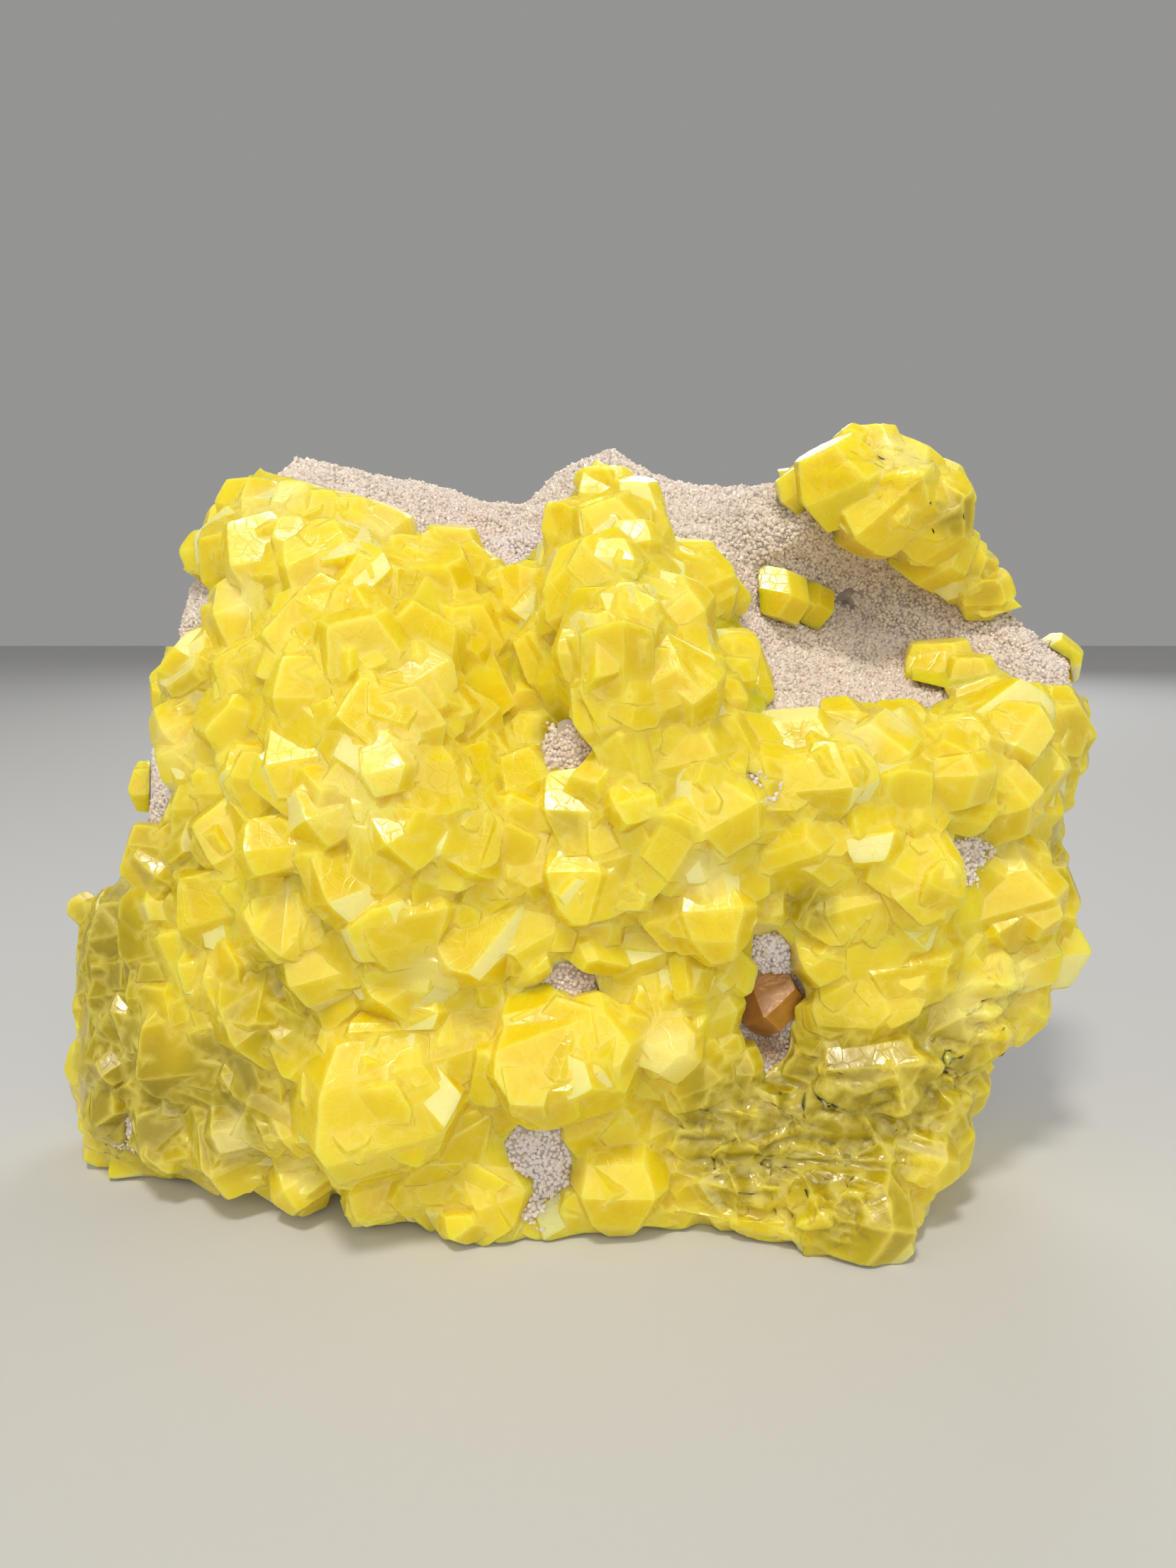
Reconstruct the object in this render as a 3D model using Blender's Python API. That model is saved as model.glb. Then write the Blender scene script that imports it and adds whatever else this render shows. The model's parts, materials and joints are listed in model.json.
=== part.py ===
"""Native sulfur: crusts of grown-together yellow crystals on a lump of grey, druse-covered matrix.

The face of the specimen is laid out on a card that stands square to a line of sight, which comes
from in front and a little above. A place is given as (across, up, forward) in millimetres: across
and up on the card, and forward from the card towards the eye. The card passes through the widest
part of the lump, so an outline drawn on it has the specimen's real size. Lengths are millimetres
until the solids are finished.
"""

import itertools
import math
import random
from collections import namedtuple

import bmesh
import bpy
import numpy as np
from mathutils import Matrix, Vector, noise
from mathutils.bvhtree import BVHTree

# The line of sight, in millimetres and degrees.
CARD_DISTANCE = 140.0
EYE_HEIGHT = 71.0
LOOK_DOWN = math.radians(9.6)
# A flashing facet points halfway between the eye and this direction.
SKYLIGHT = Vector((-0.12, -0.46, 0.88)).normalized()

# The matrix lump. Each outline point is (across, up, forward): a corner of the rim.
LUMP_CENTRE = (0.0, -8.0)
OUTLINE = [
    (-45.5, 35.5, -2), (-43, 38.5, -4), (-38.5, 41.3, -7), (-32.3, 42.5, -8), (-28.5, 39.7, -8),
    (-22.8, 38.2, -8), (-14.9, 37.2, -9), (-10, 34.2, -10), (-6, 36.7, -8), (-1.5, 41.8, -6),
    (3, 43.2, -5), (6.4, 42.5, -5), (9.2, 39.5, -8), (14, 37.8, -10), (22, 38, -8), (27, 38.3, -4),
    (31, 40.3, -1), (35.7, 42.8, 0), (40, 41.4, 0), (44, 37.3, 0), (46.2, 34.2, 0), (47.2, 29, -1),
    (49.6, 25.3, -2), (52.6, 22, -4), (57.6, 19.8, -6), (61, 15.9, -4), (62, 11, -2), (60.6, 6, 0),
    (59.3, 1, 0), (57.4, -6, 0), (58.6, -12.9, 0), (59.3, -18.5, 2), (57.5, -24, 2),
    (52.3, -30.3, 4), (47.8, -35, 6), (47.6, -39.5, 8), (44.6, -45, 11), (39.3, -50.8, 14),
    (34.5, -56, 16.5), (29.8, -56.6, 17), (22, -54.6, 16), (10, -51.4, 13.5), (5, -53.4, 14.5),
    (-5, -54.8, 15), (-15, -53.6, 14), (-27.8, -51, 12), (-34.7, -49.6, 10), (-41, -49.8, 8),
    (-54.6, -48.4, 2), (-61.2, -45.5, -2), (-63, -42, -3), (-63.6, -37.5, -3), (-62.3, -28.8, -2),
    (-62.3, -19.8, -1), (-60.5, -13.8, 0), (-59.3, -10.4, 0), (-55.8, -8, 0), (-55.2, -4, 0),
    (-56, 0, 0), (-55.4, 4, -1), (-53, 8, -2), (-51.4, 13, -3), (-52, 19.8, -4), (-51.8, 23.3, -4),
    (-48.6, 26, -3), (-46.9, 30.8, -2),
]
LUMP_POINTS = 1100
# How soon the lump spreads from its poles, and how roundly its face turns over at the rim.
POLE_SPREAD = 1.4
RIM_ROUNDNESS = 2.3
FRONT_DEPTH = 14.0
BACK_DEPTH = 35.0
# Hills and hollows of the lump's face: (across, up, half width, half height, forward).
FACE_HILLS = [
    (-30, -4, 22, 21, 14), (-38, 31, 13, 11, 7), (-33, 15, 15, 10, 6), (-50, -28, 12, 22, 3),
    (-26, -39, 13, 12, 5), (-9, 20, 7, 15, -9), (-10, 6, 9, 7, -4), (5, 21, 12, 18, 17),
    (37, 22, 17, 11, -27), (22, 27, 9, 12, -5), (38, 1, 26, 8, 10), (55, 8, 12, 9, 5),
    (37, 38, 12, 5, 6), (12, -8, 13, 9, 6), (43, -12, 16, 10, 5), (-2, -33, 14, 10, 4),
    (23, -29, 6, 9, -7), (33, -22, 12, 8, 2), (32, -43, 22, 10, -2), (9, -49, 6, 7, -4),
]
# The same for the broken rear, measured to the back.
REAR_HILLS = [
    (-30, 20, 20, 18, 4), (25, 22, 22, 14, -7), (-40, -20, 18, 16, -5), (18, -12, 24, 18, 5),
    (50, -20, 14, 16, -6), (-8, 30, 10, 14, -6),
]
# Flat breaks across the rear: the way each looks, and its distance from BREAK_CENTRE.
BREAK_CENTRE = Vector((0.0, 4.0, 42.0))
REAR_BREAKS = [
    ((-0.58, 0.78, 0.22), 42), ((0.12, 0.97, -0.2), 30), ((0.66, 0.72, 0.2), 44),
    ((-0.1, 0.74, 0.66), 39), ((-0.4, 0.7, -0.6), 44), ((0.52, 0.72, -0.46), 40),
    ((0.35, 0.5, 0.79), 42), ((-0.45, 0.55, 0.7), 50), ((-0.15, 0.99, 0.1), 31),
]
BREAK_FLATNESS = 0.85
# Broken rock: (lump size, height) of each scale of roughness, on the face and on the rear.
FACE_ROUGHNESS = ((13.0, 0.7), (5.0, 0.3))
REAR_ROUGHNESS = ((21.0, 3.2), (9.0, 1.7), (4.5, 0.7))
# The part of the rear, from the rim on, over which one roughness turns into the other.
RIM_BLEND = 0.35

# The crusts lie on the lump with a fine gap. Each is cut from the lump grown by the sheet's
# thickness, which grows sideways only towards the rim: a power of how far out a point lies.
CONTACT_GAP = 0.4
SHEET_THICKNESS = 2.2
RIM_GROWTH = 8
FLOOR_GAP = 0.3
# How far forward of the card the crusts and their windows reach: past their front, how far a
# crust wraps behind the card, and how deep its windows go.
PAST_FRONT = 90.0
WRAP_BEHIND = -7.0
WINDOW_BACK = -9.0
MAIN_REGION = [
    (-41, 39.6), (-36, 38.2), (-33, 37.5), (-29, 36.5), (-24, 35), (-22, 32.2), (-20, 31),
    (-17, 32.3), (-14, 30.5), (-10, 27.6), (-8, 28.5), (-4, 32.5), (-2, 37), (1, 40), (5.5, 39.6),
    (8, 37), (10, 34), (11, 31), (16, 27), (18.5, 22), (20.5, 18), (22, 13), (22.6, 8.8), (33, 9.8),
    (43, 9.3), (46, 10.6), (45, 12.4), (41, 13.2), (40.8, 16), (43, 18), (47, 17.6), (50, 16.2),
    (52, 14.6), (55, 12.8), (60, 11.8), (63, 11), (76, 9), (76, -34), (60, -52), (44, -68),
    (0, -72), (-60, -66), (-82, -50), (-82, -12), (-66, -12.6), (-61, -14.4), (-58, -10.5),
    (-57, -8), (-54.4, -6), (-52.6, -1), (-52.4, 3), (-52, 9), (-53, 11.4), (-60, 12.4),
    (-60, 17), (-50.5, 17.6), (-47.6, 19.4), (-47.4, 24.4), (-49.4, 26.6), (-60, 29),
    (-60, 42), (-46, 45),
]
CREST_REGION = [
    (24.5, 38.6), (27.5, 36.6), (30, 34.6), (34, 32.2), (37, 31.2), (41, 29), (45, 26.6),
    (47.6, 22.4), (50, 21), (53, 21.8), (60, 24), (60, 40), (46, 52), (30, 52), (22, 44),
]
# Places inside the main crust where the druse shows through.
WINDOWS = [
    [(-4.6, 6.4), (-1, 6), (0.9, 4.6), (0.5, 2.2), (-3.6, 1.8), (-5.2, 4)],
    [(19.6, 2), (21.6, 0.8), (23.1, -2.6), (22, -4), (20.4, -2)],
    [(44.3, -6.2), (50.6, -8), (49, -11.6), (46.6, -13), (44.8, -10)],
    [(-9.4, -27.6), (-6, -22.8), (0, -21.8), (1.4, -26), (2, -30), (-2, -27.6)],
    [(-10.6, -45.4), (-8, -41.8), (-4.2, -41.6), (-2.6, -46), (-1.4, -50.6), (-4.6, -60),
     (-8.8, -60), (-9.2, -50)],
    [(-61, -46), (-58, -39.8), (-55.4, -40.4), (-55.4, -44), (-58, -46.6)],
    [(21, -18.4), (23.4, -18), (25.8, -20.5), (28, -28), (26, -31), (25, -35), (22, -37.6),
     (19.4, -36), (18.4, -29), (20.4, -23)],
]

# Sulfur's axes a, b and c, and how far out each crystal form lies in a habit.
SULFUR_AXES = (0.813, 1.0, 1.903)
HABITS = {
    "rich": {(1, 1, 1): 1.0, (1, 1, 3): 1.02, (0, 1, 1): 1.1, (0, 0, 1): 1.0},
    "block": {(1, 1, 1): 1.0, (0, 1, 1): 1.04, (0, 0, 1): 0.9},
    "pyramid": {(1, 1, 1): 1.0, (1, 1, 3): 1.12, (0, 0, 1): 0.95},
    "stub": {(1, 1, 1): 1.0, (0, 0, 1): 0.85},
}
RICH_SIZE = 10.0
CALCITE_AXES = (1.0, 1.0, 1.2)
CALCITE_HABIT = {(1, 0, 1): 1.0, (0, 1, 1): 1.0, (1, 1, 0): 1.1}
FACE_JITTER = 0.07

# Where a crystal's broad facet looks, in degrees right and up from the way to the eye.
PALE = (0, 36)
DEEP = (0, -12)
FLASH = "flash"
ALONG = "along"
Crystal = namedtuple("Crystal", "across up wide tall lean look stand habit",
                     defaults=(0, ALONG, 0.13, "block"))
# Each crystal is this many millimetres wider than what shows of it between its neighbours.
OVERGROWTH = 1.4
# How deep a crystal is for its breadth: the crystals in a crust are flattened along it.
CRYSTAL_DEPTH = 0.82
# A crystal that looks along the crust leans this much to the eye, and strays this much by chance,
# as parts of a unit length. One that looks a given way strays by these degrees.
EYE_PULL = 0.5
STRAY = 0.28
LOOK_STRAY = 4.0

TOP_LEFT = [
    Crystal(-43.8, 36.2, 5.6, 5.6),
    Crystal(-41, 36.4, 5, 5, look=PALE),
    Crystal(-40.2, 30, 9.5, 9.5, 20, look=(-6, 24)),
    Crystal(-37, 30.6, 4, 4, look=FLASH, stand=0.5),
    Crystal(-45, 28.4, 8, 8.6, 10, look=(-20, -4)),
    Crystal(-43.2, 22.8, 8, 10, 8, look=PALE),
    Crystal(-36.8, 36, 5, 5),
    Crystal(-33, 34.6, 5, 5, look=(8, 18)),
    Crystal(-29.4, 34.2, 4, 4),
    Crystal(-26, 32.4, 7, 6.5, 40, look=PALE),
    Crystal(-33, 27.4, 10.5, 10, 30, look=(4, 10)),
    Crystal(-22, 28.8, 5.5, 6),
    Crystal(-17, 29.4, 6.5, 6, look=(10, 12)),
    Crystal(-19.6, 25, 7.5, 7, look=DEEP),
    Crystal(-27, 24.5, 8.5, 8, -20, look=(6, 4)),
    Crystal(-13.5, 26, 5.5, 6, look=(20, 8)),
    Crystal(-36, 19.5, 9, 8, 50, look=(-4, 16)),
    Crystal(-28.5, 17, 8.5, 9, 15, look=(2, 2)),
    Crystal(-21, 17.5, 9, 9, -30, look=(10, 14)),
    Crystal(-14.5, 18.5, 7, 9, 10, look=(24, 4)),
    Crystal(-48.2, 14.4, 7.4, 12.4, -22, look=(-24, 6), stand=0.35),
    Crystal(-42.5, 14.5, 9, 8, 30, look=(-12, 12)),
    Crystal(-35, 12, 8, 8, look=(-2, 22)),
    Crystal(-26.5, 9.5, 9, 8, 60, look=(4, 20)),
    Crystal(-18.5, 9.5, 8, 8, 20, look=(12, 8)),
    Crystal(-11.6, 11.6, 3.6, 5, look=PALE),
]
LEFT_BULGE = [
    Crystal(-50.4, 7, 7.5, 6, 35, look=(-14, 38), stand=0.5),
    Crystal(-49.8, 3.4, 7, 5.5, 20, look=(-20, -20), stand=0.4),
    Crystal(-43.6, 7, 8.5, 8, 50, look=DEEP),
    Crystal(-42, 2, 6, 5, look=PALE),
    Crystal(-48.8, -5, 7.6, 10, 12, look=(-22, -6)),
    Crystal(-54.6, -7.2, 3.2, 3.2, look=(-20, 20)),
    Crystal(-53.8, -10.2, 4.5, 5, 60, look=FLASH, stand=0.5),
    Crystal(-54, -14.6, 3.2, 3.2, look=PALE),
    Crystal(-35.5, 4.5, 9, 8, 10, look=(-4, 30)),
    Crystal(-38, -7.4, 9.5, 5.5, 12, look=PALE, stand=0.4),
    Crystal(-44.5, -6, 8, 8, 40, look=(-10, 4)),
    Crystal(-32, -2, 8, 7, 30, look=(0, 34)),
    Crystal(-25.4, 1.6, 4.4, 5, 15, look=FLASH, stand=0.45),
    Crystal(-27.6, -2.2, 3.2, 3, look=PALE),
    Crystal(-21, 2.4, 6, 6, 20, look=(6, 18)),
    Crystal(-17.4, 1.4, 4.6, 4.4, look=PALE),
    Crystal(-12.6, 3, 7.5, 8, 12, look=(14, 20)),
    Crystal(-22, -4.6, 8.5, 7, 40, look=(4, 26)),
    Crystal(-46.5, -15, 9.5, 9, 15, look=(-12, -4)),
    Crystal(-37.4, -15.6, 10, 9, 60, look=(-4, 10)),
    Crystal(-29.6, -11, 8.5, 8, 30, look=(0, 22)),
    Crystal(-23.6, -15.2, 10, 9.5, 10, look=(4, 30)),
    Crystal(-14.4, -17.6, 12, 10.5, 50, look=(8, 18)),
    Crystal(-15.4, -6.6, 8.5, 8, 70, look=(10, 12)),
    Crystal(-32.6, -21.6, 10, 9, 20, look=(-2, 4)),
    Crystal(-24, -23.6, 8, 7, 40, look=(4, 12)),
    Crystal(-59.8, -18, 6, 7.5, 5, look=(-30, 6)),
    Crystal(-55.6, -18.8, 7, 9, 15, look=(-24, 2)),
    Crystal(-48, -22.4, 6.5, 5.5, look=(-14, 26)),
]
MIDDLE_DOME = [
    Crystal(2.4, 37.6, 6, 5.5, look=(-4, 30)),
    Crystal(6.2, 35.4, 5.5, 5.5, look=(10, 10)),
    Crystal(-2.4, 33, 6, 6, look=(-16, 10)),
    Crystal(2.8, 32.6, 7, 7, 20, look=(-2, 16)),
    Crystal(6, 30.4, 4.4, 4, look=FLASH, stand=0.45),
    Crystal(3.8, 28.2, 4, 3.6, look=FLASH, stand=0.4),
    Crystal(-7.4, 25, 7.4, 7.4, 45, look=(-22, 30)),
    Crystal(-0.4, 24.6, 9.5, 10.5, 20, look=(-10, 6)),
    Crystal(-4.8, 16.6, 8, 8, 30, look=(-20, -8)),
    Crystal(-0.8, 17, 4.6, 5, look=(-4, 20)),
    Crystal(9.4, 20.8, 10.5, 9.5, 30, look=(2, 14)),
    Crystal(5.2, 20.8, 5.4, 5.4, 30, look=PALE, stand=0.45),
    Crystal(14.4, 25, 7, 9.5, 25, look=(24, 4)),
    Crystal(13.6, 29, 4, 4, look=(16, 16), habit="stub"),
    Crystal(17.6, 23.4, 3.6, 5, 30, look=(30, 4), habit="stub"),
    Crystal(7.4, 11.4, 13.5, 11, 20, look=(-2, 2)),
    Crystal(12.6, 14, 6, 6, 20, look=FLASH, stand=0.5),
    Crystal(17.2, 17.6, 4.4, 4.4, look=(20, 24), habit="stub"),
    Crystal(17.8, 14, 4, 4.4, look=(24, 12), habit="stub"),
    Crystal(16.6, 11.4, 4, 3.6, look=(12, 30), habit="stub"),
    Crystal(20.2, 13, 5.4, 12, 4, look=(34, 0)),
    Crystal(10.4, 4, 11.5, 7.5, 8, look=(2, 10)),
    Crystal(1.6, 9.6, 6, 7, 20, look=(-12, 4)),
    Crystal(17.6, 4.6, 6, 8, 10, look=(16, 8)),
    Crystal(-6.6, 10, 5, 4, look=(-8, -16)),
]
CENTRE = [
    Crystal(-7.4, 0.8, 7, 7.4, 20, look=(8, 22)),
    Crystal(-0.8, -1.6, 8.5, 8, 10, look=(-2, 30)),
    Crystal(5.6, -2.8, 4.4, 4.2, 20, look=PALE, stand=0.4),
    Crystal(4, -8, 9, 7, 15, look=(-4, 8)),
    Crystal(11.2, -7.6, 7.4, 7, 60, look=DEEP),
    Crystal(-1.8, -10.4, 5.2, 11, 4, look=(-4, 26), stand=0.4),
    Crystal(-7.6, -9.4, 6, 8, 20, look=(10, 14)),
    Crystal(-7, -17.4, 8, 8, 30, look=(10, 8)),
    Crystal(5.6, -14.2, 3.4, 3, look=FLASH, stand=0.5),
    Crystal(0.2, -18.4, 5.6, 3, 10, look=FLASH, stand=0.45),
    Crystal(10.4, -15, 7, 8, 20, look=(-6, 4)),
    Crystal(15.6, -15.8, 7, 10.5, 6, look=(-2, 28), stand=0.45),
    Crystal(22, -14.8, 4.4, 3.2, look=PALE),
    Crystal(23.6, -8.6, 11, 9.5, 20, look=DEEP),
    Crystal(17.4, -3, 7, 7, 30, look=(6, 10)),
    Crystal(6.4, -21, 7, 6, 20, look=(2, 6)),
    Crystal(12, -22.4, 5, 5, look=PALE),
    Crystal(17, -24, 2.2, 4.4, -50, look=FLASH, stand=0.5),
    Crystal(15.4, -28, 6.5, 7, 10, look=(4, 2)),
    Crystal(17.4, -32.4, 2, 3.6, 40, look=FLASH, stand=0.5),
    Crystal(9.8, -33, 6.4, 6, 20, look=(2, 32), stand=0.45),
    Crystal(9, -28.4, 6, 5, look=(0, 12)),
    Crystal(13, -38, 7.5, 7, 30, look=(8, -4)),
]
RIGHT_SHOULDER = [
    Crystal(25.2, 5.4, 11.5, 8, 4, look=(-4, 22)),
    Crystal(27, 0.2, 11, 6, 6, look=(0, 6)),
    Crystal(30.4, 2.6, 3.6, 3, look=FLASH, stand=0.5),
    Crystal(32, 7.4, 5, 5.4, 10, look=(-4, 48), stand=0.4),
    Crystal(35.4, 9, 3.2, 2.6, look=PALE),
    Crystal(39.4, 8, 6, 4, 5, look=(2, 48), stand=0.4),
    Crystal(36, 3.6, 8.5, 8, 30, look=(0, 8)),
    Crystal(44.4, 15.8, 7.4, 4.8, 0, look=(0, 10), stand=0.15),
    Crystal(48.6, 14, 5, 4.6, look=(4, 10)),
    Crystal(50.4, 10.6, 7, 6.4, 20, look=(4, 22)),
    Crystal(54.2, 6.4, 6.6, 6.4, 60, look=PALE, stand=0.35),
    Crystal(46.6, 6, 8, 6, 10, look=(0, 34)),
    Crystal(45, 1, 9, 5.4, 8, look=(0, 10)),
    Crystal(57.4, 2.8, 5, 5, look=(14, 14)),
    Crystal(61, 4, 4.4, 8, -6, look=(34, 0)),
    Crystal(60.4, 9.6, 5, 6, look=(30, 14)),
    Crystal(55.6, 11, 5, 4, look=(10, 26)),
    Crystal(51, -2.8, 9.5, 8.4, 20, look=DEEP),
    Crystal(57.6, -2.4, 5, 6, look=(26, -4)),
    Crystal(29.4, -6.6, 8, 8, 40, look=(4, 12)),
    Crystal(35.6, -6.6, 5.4, 5.8, 8, look=PALE, stand=0.35),
    Crystal(40.8, -10, 8, 13, 8, look=(2, 14), stand=0.35),
    Crystal(41.6, -8.4, 4.6, 2.6, look=PALE),
    Crystal(54.6, -8.4, 5, 4.4, look=PALE),
    Crystal(52.6, -14, 12, 11, 20, look=(8, 4)),
    Crystal(59, -14, 6, 9, 0, look=(34, 0)),
    Crystal(34, -13.6, 8, 9, 15, look=(0, 6)),
    Crystal(29.6, -20.8, 6, 5.4, 30, look=(0, 14)),
    Crystal(40.6, -21.4, 10.5, 8.4, 15, look=(4, 24)),
    Crystal(33.6, -27.4, 9, 9, 0, look=(0, -2)),
    Crystal(48, -23.6, 7, 6, 30, look=(6, 24), habit="pyramid"),
    Crystal(54, -22, 7, 6, 20, look=(16, 10), habit="pyramid"),
    Crystal(59.6, -20.4, 5, 8, 0, look=(34, 6), habit="pyramid"),
    Crystal(43, -29.4, 9, 7, 30, look=(6, 0)),
]
LOWER_LEFT = [
    Crystal(-54.4, -24.4, 7, 8, 10, look=(-22, 6)),
    Crystal(-60.2, -25.6, 5.4, 7.4, 0, look=(-30, 4)),
    Crystal(-58.2, -28.6, 2.4, 3.6, 0, look=FLASH, stand=0.5),
    Crystal(-51.2, -32.6, 11, 14, 6, look=(-14, -12)),
    Crystal(-60.4, -33.4, 5.4, 8, 0, look=(-28, -4)),
    Crystal(-59.8, -35.8, 3.4, 3, 40, look=FLASH, stand=0.4),
    Crystal(-60.6, -41.2, 5.6, 6.6, 0, look=(-20, -8)),
    Crystal(-46, -24.6, 3.4, 3.4, 10, look=FLASH, stand=0.45),
    Crystal(-40.4, -27.6, 11, 14, 32, look=(-2, 2)),
    Crystal(-38.6, -30.6, 3, 9, 38, look=FLASH, stand=0.5),
    Crystal(-44, -36.4, 3.4, 2.6, look=PALE),
    Crystal(-52.4, -43.6, 8, 9, 20, look=(-8, -16)),
    Crystal(-44.6, -45.4, 8, 9, 20, look=(-4, 4)),
    Crystal(-45, -43.8, 5, 5, 10, look=PALE, stand=0.4),
    Crystal(-54, -45, 3, 3.2, 20, look=FLASH, stand=0.45),
    Crystal(-57.4, -48.2, 6, 4.6, 10, look=(-14, -10)),
    Crystal(-39.4, -42, 3, 6.5, 12, look=FLASH, stand=0.45),
    Crystal(-36.6, -41.6, 6, 8, 30, look=(0, 8)),
    Crystal(-35.8, -49, 6.4, 5.2, 30, look=PALE),
    Crystal(-26.4, -39.4, 16.5, 16, 12, look=(0, -8), stand=0.35),
    Crystal(-24.6, -31.4, 10, 4, 2, look=(0, 56), stand=0.4),
    Crystal(-20.8, -29, 4, 3, look=FLASH, stand=0.5),
    Crystal(-14.8, -31.4, 9.5, 11, 12, look=(4, 4)),
    Crystal(-25.6, -50, 9, 6, 10, look=(0, 30)),
    Crystal(-16.6, -42.4, 8, 9, 20, look=(4, -8)),
    Crystal(-3.4, -34.6, 15.5, 12.5, 15, look=(2, 8), stand=0.35),
    Crystal(-5.6, -29.4, 9.5, 4.6, 8, look=(0, 44), stand=0.35),
    Crystal(-11.6, -50.4, 6.4, 8, 10, look=(0, 6)),
    Crystal(-19.4, -51, 8, 6, 0, look=(2, -14)),
    Crystal(1.4, -42, 9, 8, 20, look=(2, -4)),
    Crystal(3.4, -49.4, 8.5, 11, 0, look=(6, -4), stand=0.4),
    Crystal(-0.4, -53.4, 5, 5, habit="stub"),
    Crystal(7.6, -42.6, 7, 7, 20, look=(8, -6)),
]
# The massive sulfur at the lower right lies in broken ledges: wide, low bodies.
LEDGES = [
    Crystal(33, -54, 13, 10, -10, look=(0, 10), stand=0.4),
    Crystal(24, -54.6, 10, 6, 0, look=(-4, -14)),
    Crystal(15.6, -50, 13, 6.4, -12, look=(-4, 2)),
    Crystal(14.6, -44.6, 12, 6, -20, look=(-4, -8)),
    Crystal(22, -50.4, 9, 5.6, -4, look=(-2, 6)),
    Crystal(31, -48.6, 15, 4.6, 6, look=(0, 30), stand=0.4),
    Crystal(39.6, -46.4, 12, 5, -14, look=(8, 22), stand=0.4),
    Crystal(29, -43.4, 15, 7, 4, look=(0, -10)),
    Crystal(40.6, -41.6, 11, 7, 20, look=(10, -4)),
    Crystal(45.6, -44, 6, 9, 30, look=(26, -6)),
    Crystal(39.6, -51, 9, 4.4, 30, look=(14, -10)),
    Crystal(36, -35.6, 11, 7, 4, look=(0, 22), stand=0.35),
    Crystal(29.4, -37, 8, 6, -10, look=(-8, -8)),
    Crystal(44, -35.6, 7, 5.6, 30, look=(8, -14)),
    Crystal(48.2, -31.8, 9, 5, 32, look=(12, 4), stand=0.4),
    Crystal(48.2, -38.4, 5.4, 6, 20, look=(26, -10)),
    Crystal(54.6, -28.4, 8, 6, 40, look=(20, -6)),
    Crystal(21, -40.4, 8, 5, -10, look=(-4, -6)),
    Crystal(18, -35.6, 6, 5, look=(0, 4)),
]
CREST = [
    Crystal(27, 38.2, 6, 4.4, 30, look=(-10, 10)),
    Crystal(31.4, 38.4, 9, 9, 20, look=(-6, 8), stand=0.15),
    Crystal(35.4, 42.4, 7, 6.4, 0, look=(-6, 26), stand=0.15),
    Crystal(40.2, 41.2, 8, 6, -30, look=(4, 34), stand=0.12),
    Crystal(37.2, 36.4, 11, 10, 40, look=(0, 12), stand=0.12),
    Crystal(35.2, 32.8, 3.2, 2.6, look=(0, 10)),
    Crystal(42.6, 34.8, 10, 10, 30, look=(4, 14), stand=0.12),
    Crystal(45.6, 36, 5.6, 8, 14, look=(24, 0), stand=0.12),
    Crystal(43.8, 30.2, 9, 8, -40, look=(4, 8), stand=0.12),
    Crystal(47.6, 27.4, 7, 7.4, -40, look=(14, 4), stand=0.12),
    Crystal(50.4, 24, 5.6, 5, 0, look=(10, -4), stand=0.15),
]
MAIN_CRYSTALS = TOP_LEFT + LEFT_BULGE + MIDDLE_DOME + CENTRE + RIGHT_SHOULDER + LOWER_LEFT + LEDGES
LONE_CRYSTALS = {
    "sulfur_lone_crystal": [
        Crystal(22.8, 24.2, 9, 5.4, -14, look=FLASH, stand=0.42),
        Crystal(27.4, 22.8, 6, 5, -24, look=FLASH, stand=0.45),
    ],
    "sulfur_right_edge_crystal": [
        Crystal(60.4, 16.2, 3.4, 5.4, 30, look=(24, 10)),
    ],
    "sulfur_left_knob": [
        Crystal(-57.6, -0.4, 4, 5, 0, look=(-16, 10), stand=0.45),
        Crystal(-58.4, 0.8, 3, 3, 0, look=(-20, 20), stand=0.45),
    ],
}
CALCITE = Crystal(23.2, -26.2, 5, 8.4, -12, look=(0, 14), stand=0.45)

# Small crystals fill the main crust between the listed ones.
FILL_SPACING = 8.6
FILL_ROWS = range(-8, 9)
FILL_COLUMNS = range(-10, 11)
FILL_MIDDLE_ROW = -8.0
FILL_STRAY = 1.8
HONEYCOMB = math.sqrt(3) / 2
FILL_SIZE = (6.4, 8.6)
FILL_STAND = 0.1
ANY_LEAN = 90.0
# Crystals along the rim: how many round it, in rows at these distances forward of it.
RIM_COUNT = 46
RIM_ROWS = (-4.5, 3.5)
MAIN_RIM_SIZE = (5.5, 8.0)
CREST_RIM_SIZE = (3.0, 4.4)
RIM_STAND = -0.03
# How far they stray along the rim, as part of their spacing, and forward of their row.
RIM_STRAY_ALONG = 0.3
RIM_STRAY_FORWARD = 2.0
# Slivers where crystals meet are thinned out until a piece has about this many triangles.
MOST_TRIANGLES = 6350

# Corners this near are one, in millimetres, and faces this near in angle are one facet.
SAME_CORNER = 0.01
SAME_FACET = math.radians(0.3)
SEED = 16

MM = 0.001
SULFUR_COLOUR = (0.80, 0.62, 0.04, 1.0)
MATRIX_COLOUR = (0.40, 0.34, 0.30, 1.0)
CALCITE_COLOUR = (0.32, 0.13, 0.03, 1.0)

EYE = Vector((0.0, -CARD_DISTANCE * math.cos(LOOK_DOWN), EYE_HEIGHT))
RIGHTWARD = Vector((1.0, 0.0, 0.0))
CARD_UP = Vector((0.0, math.sin(LOOK_DOWN), math.cos(LOOK_DOWN)))
AHEAD = Vector((0.0, math.cos(LOOK_DOWN), -math.sin(LOOK_DOWN)))


def sight(across, up):
    """The way from the eye through a point of the card, one card distance long at the card."""
    return AHEAD + (RIGHTWARD * across + CARD_UP * up) / CARD_DISTANCE


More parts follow.
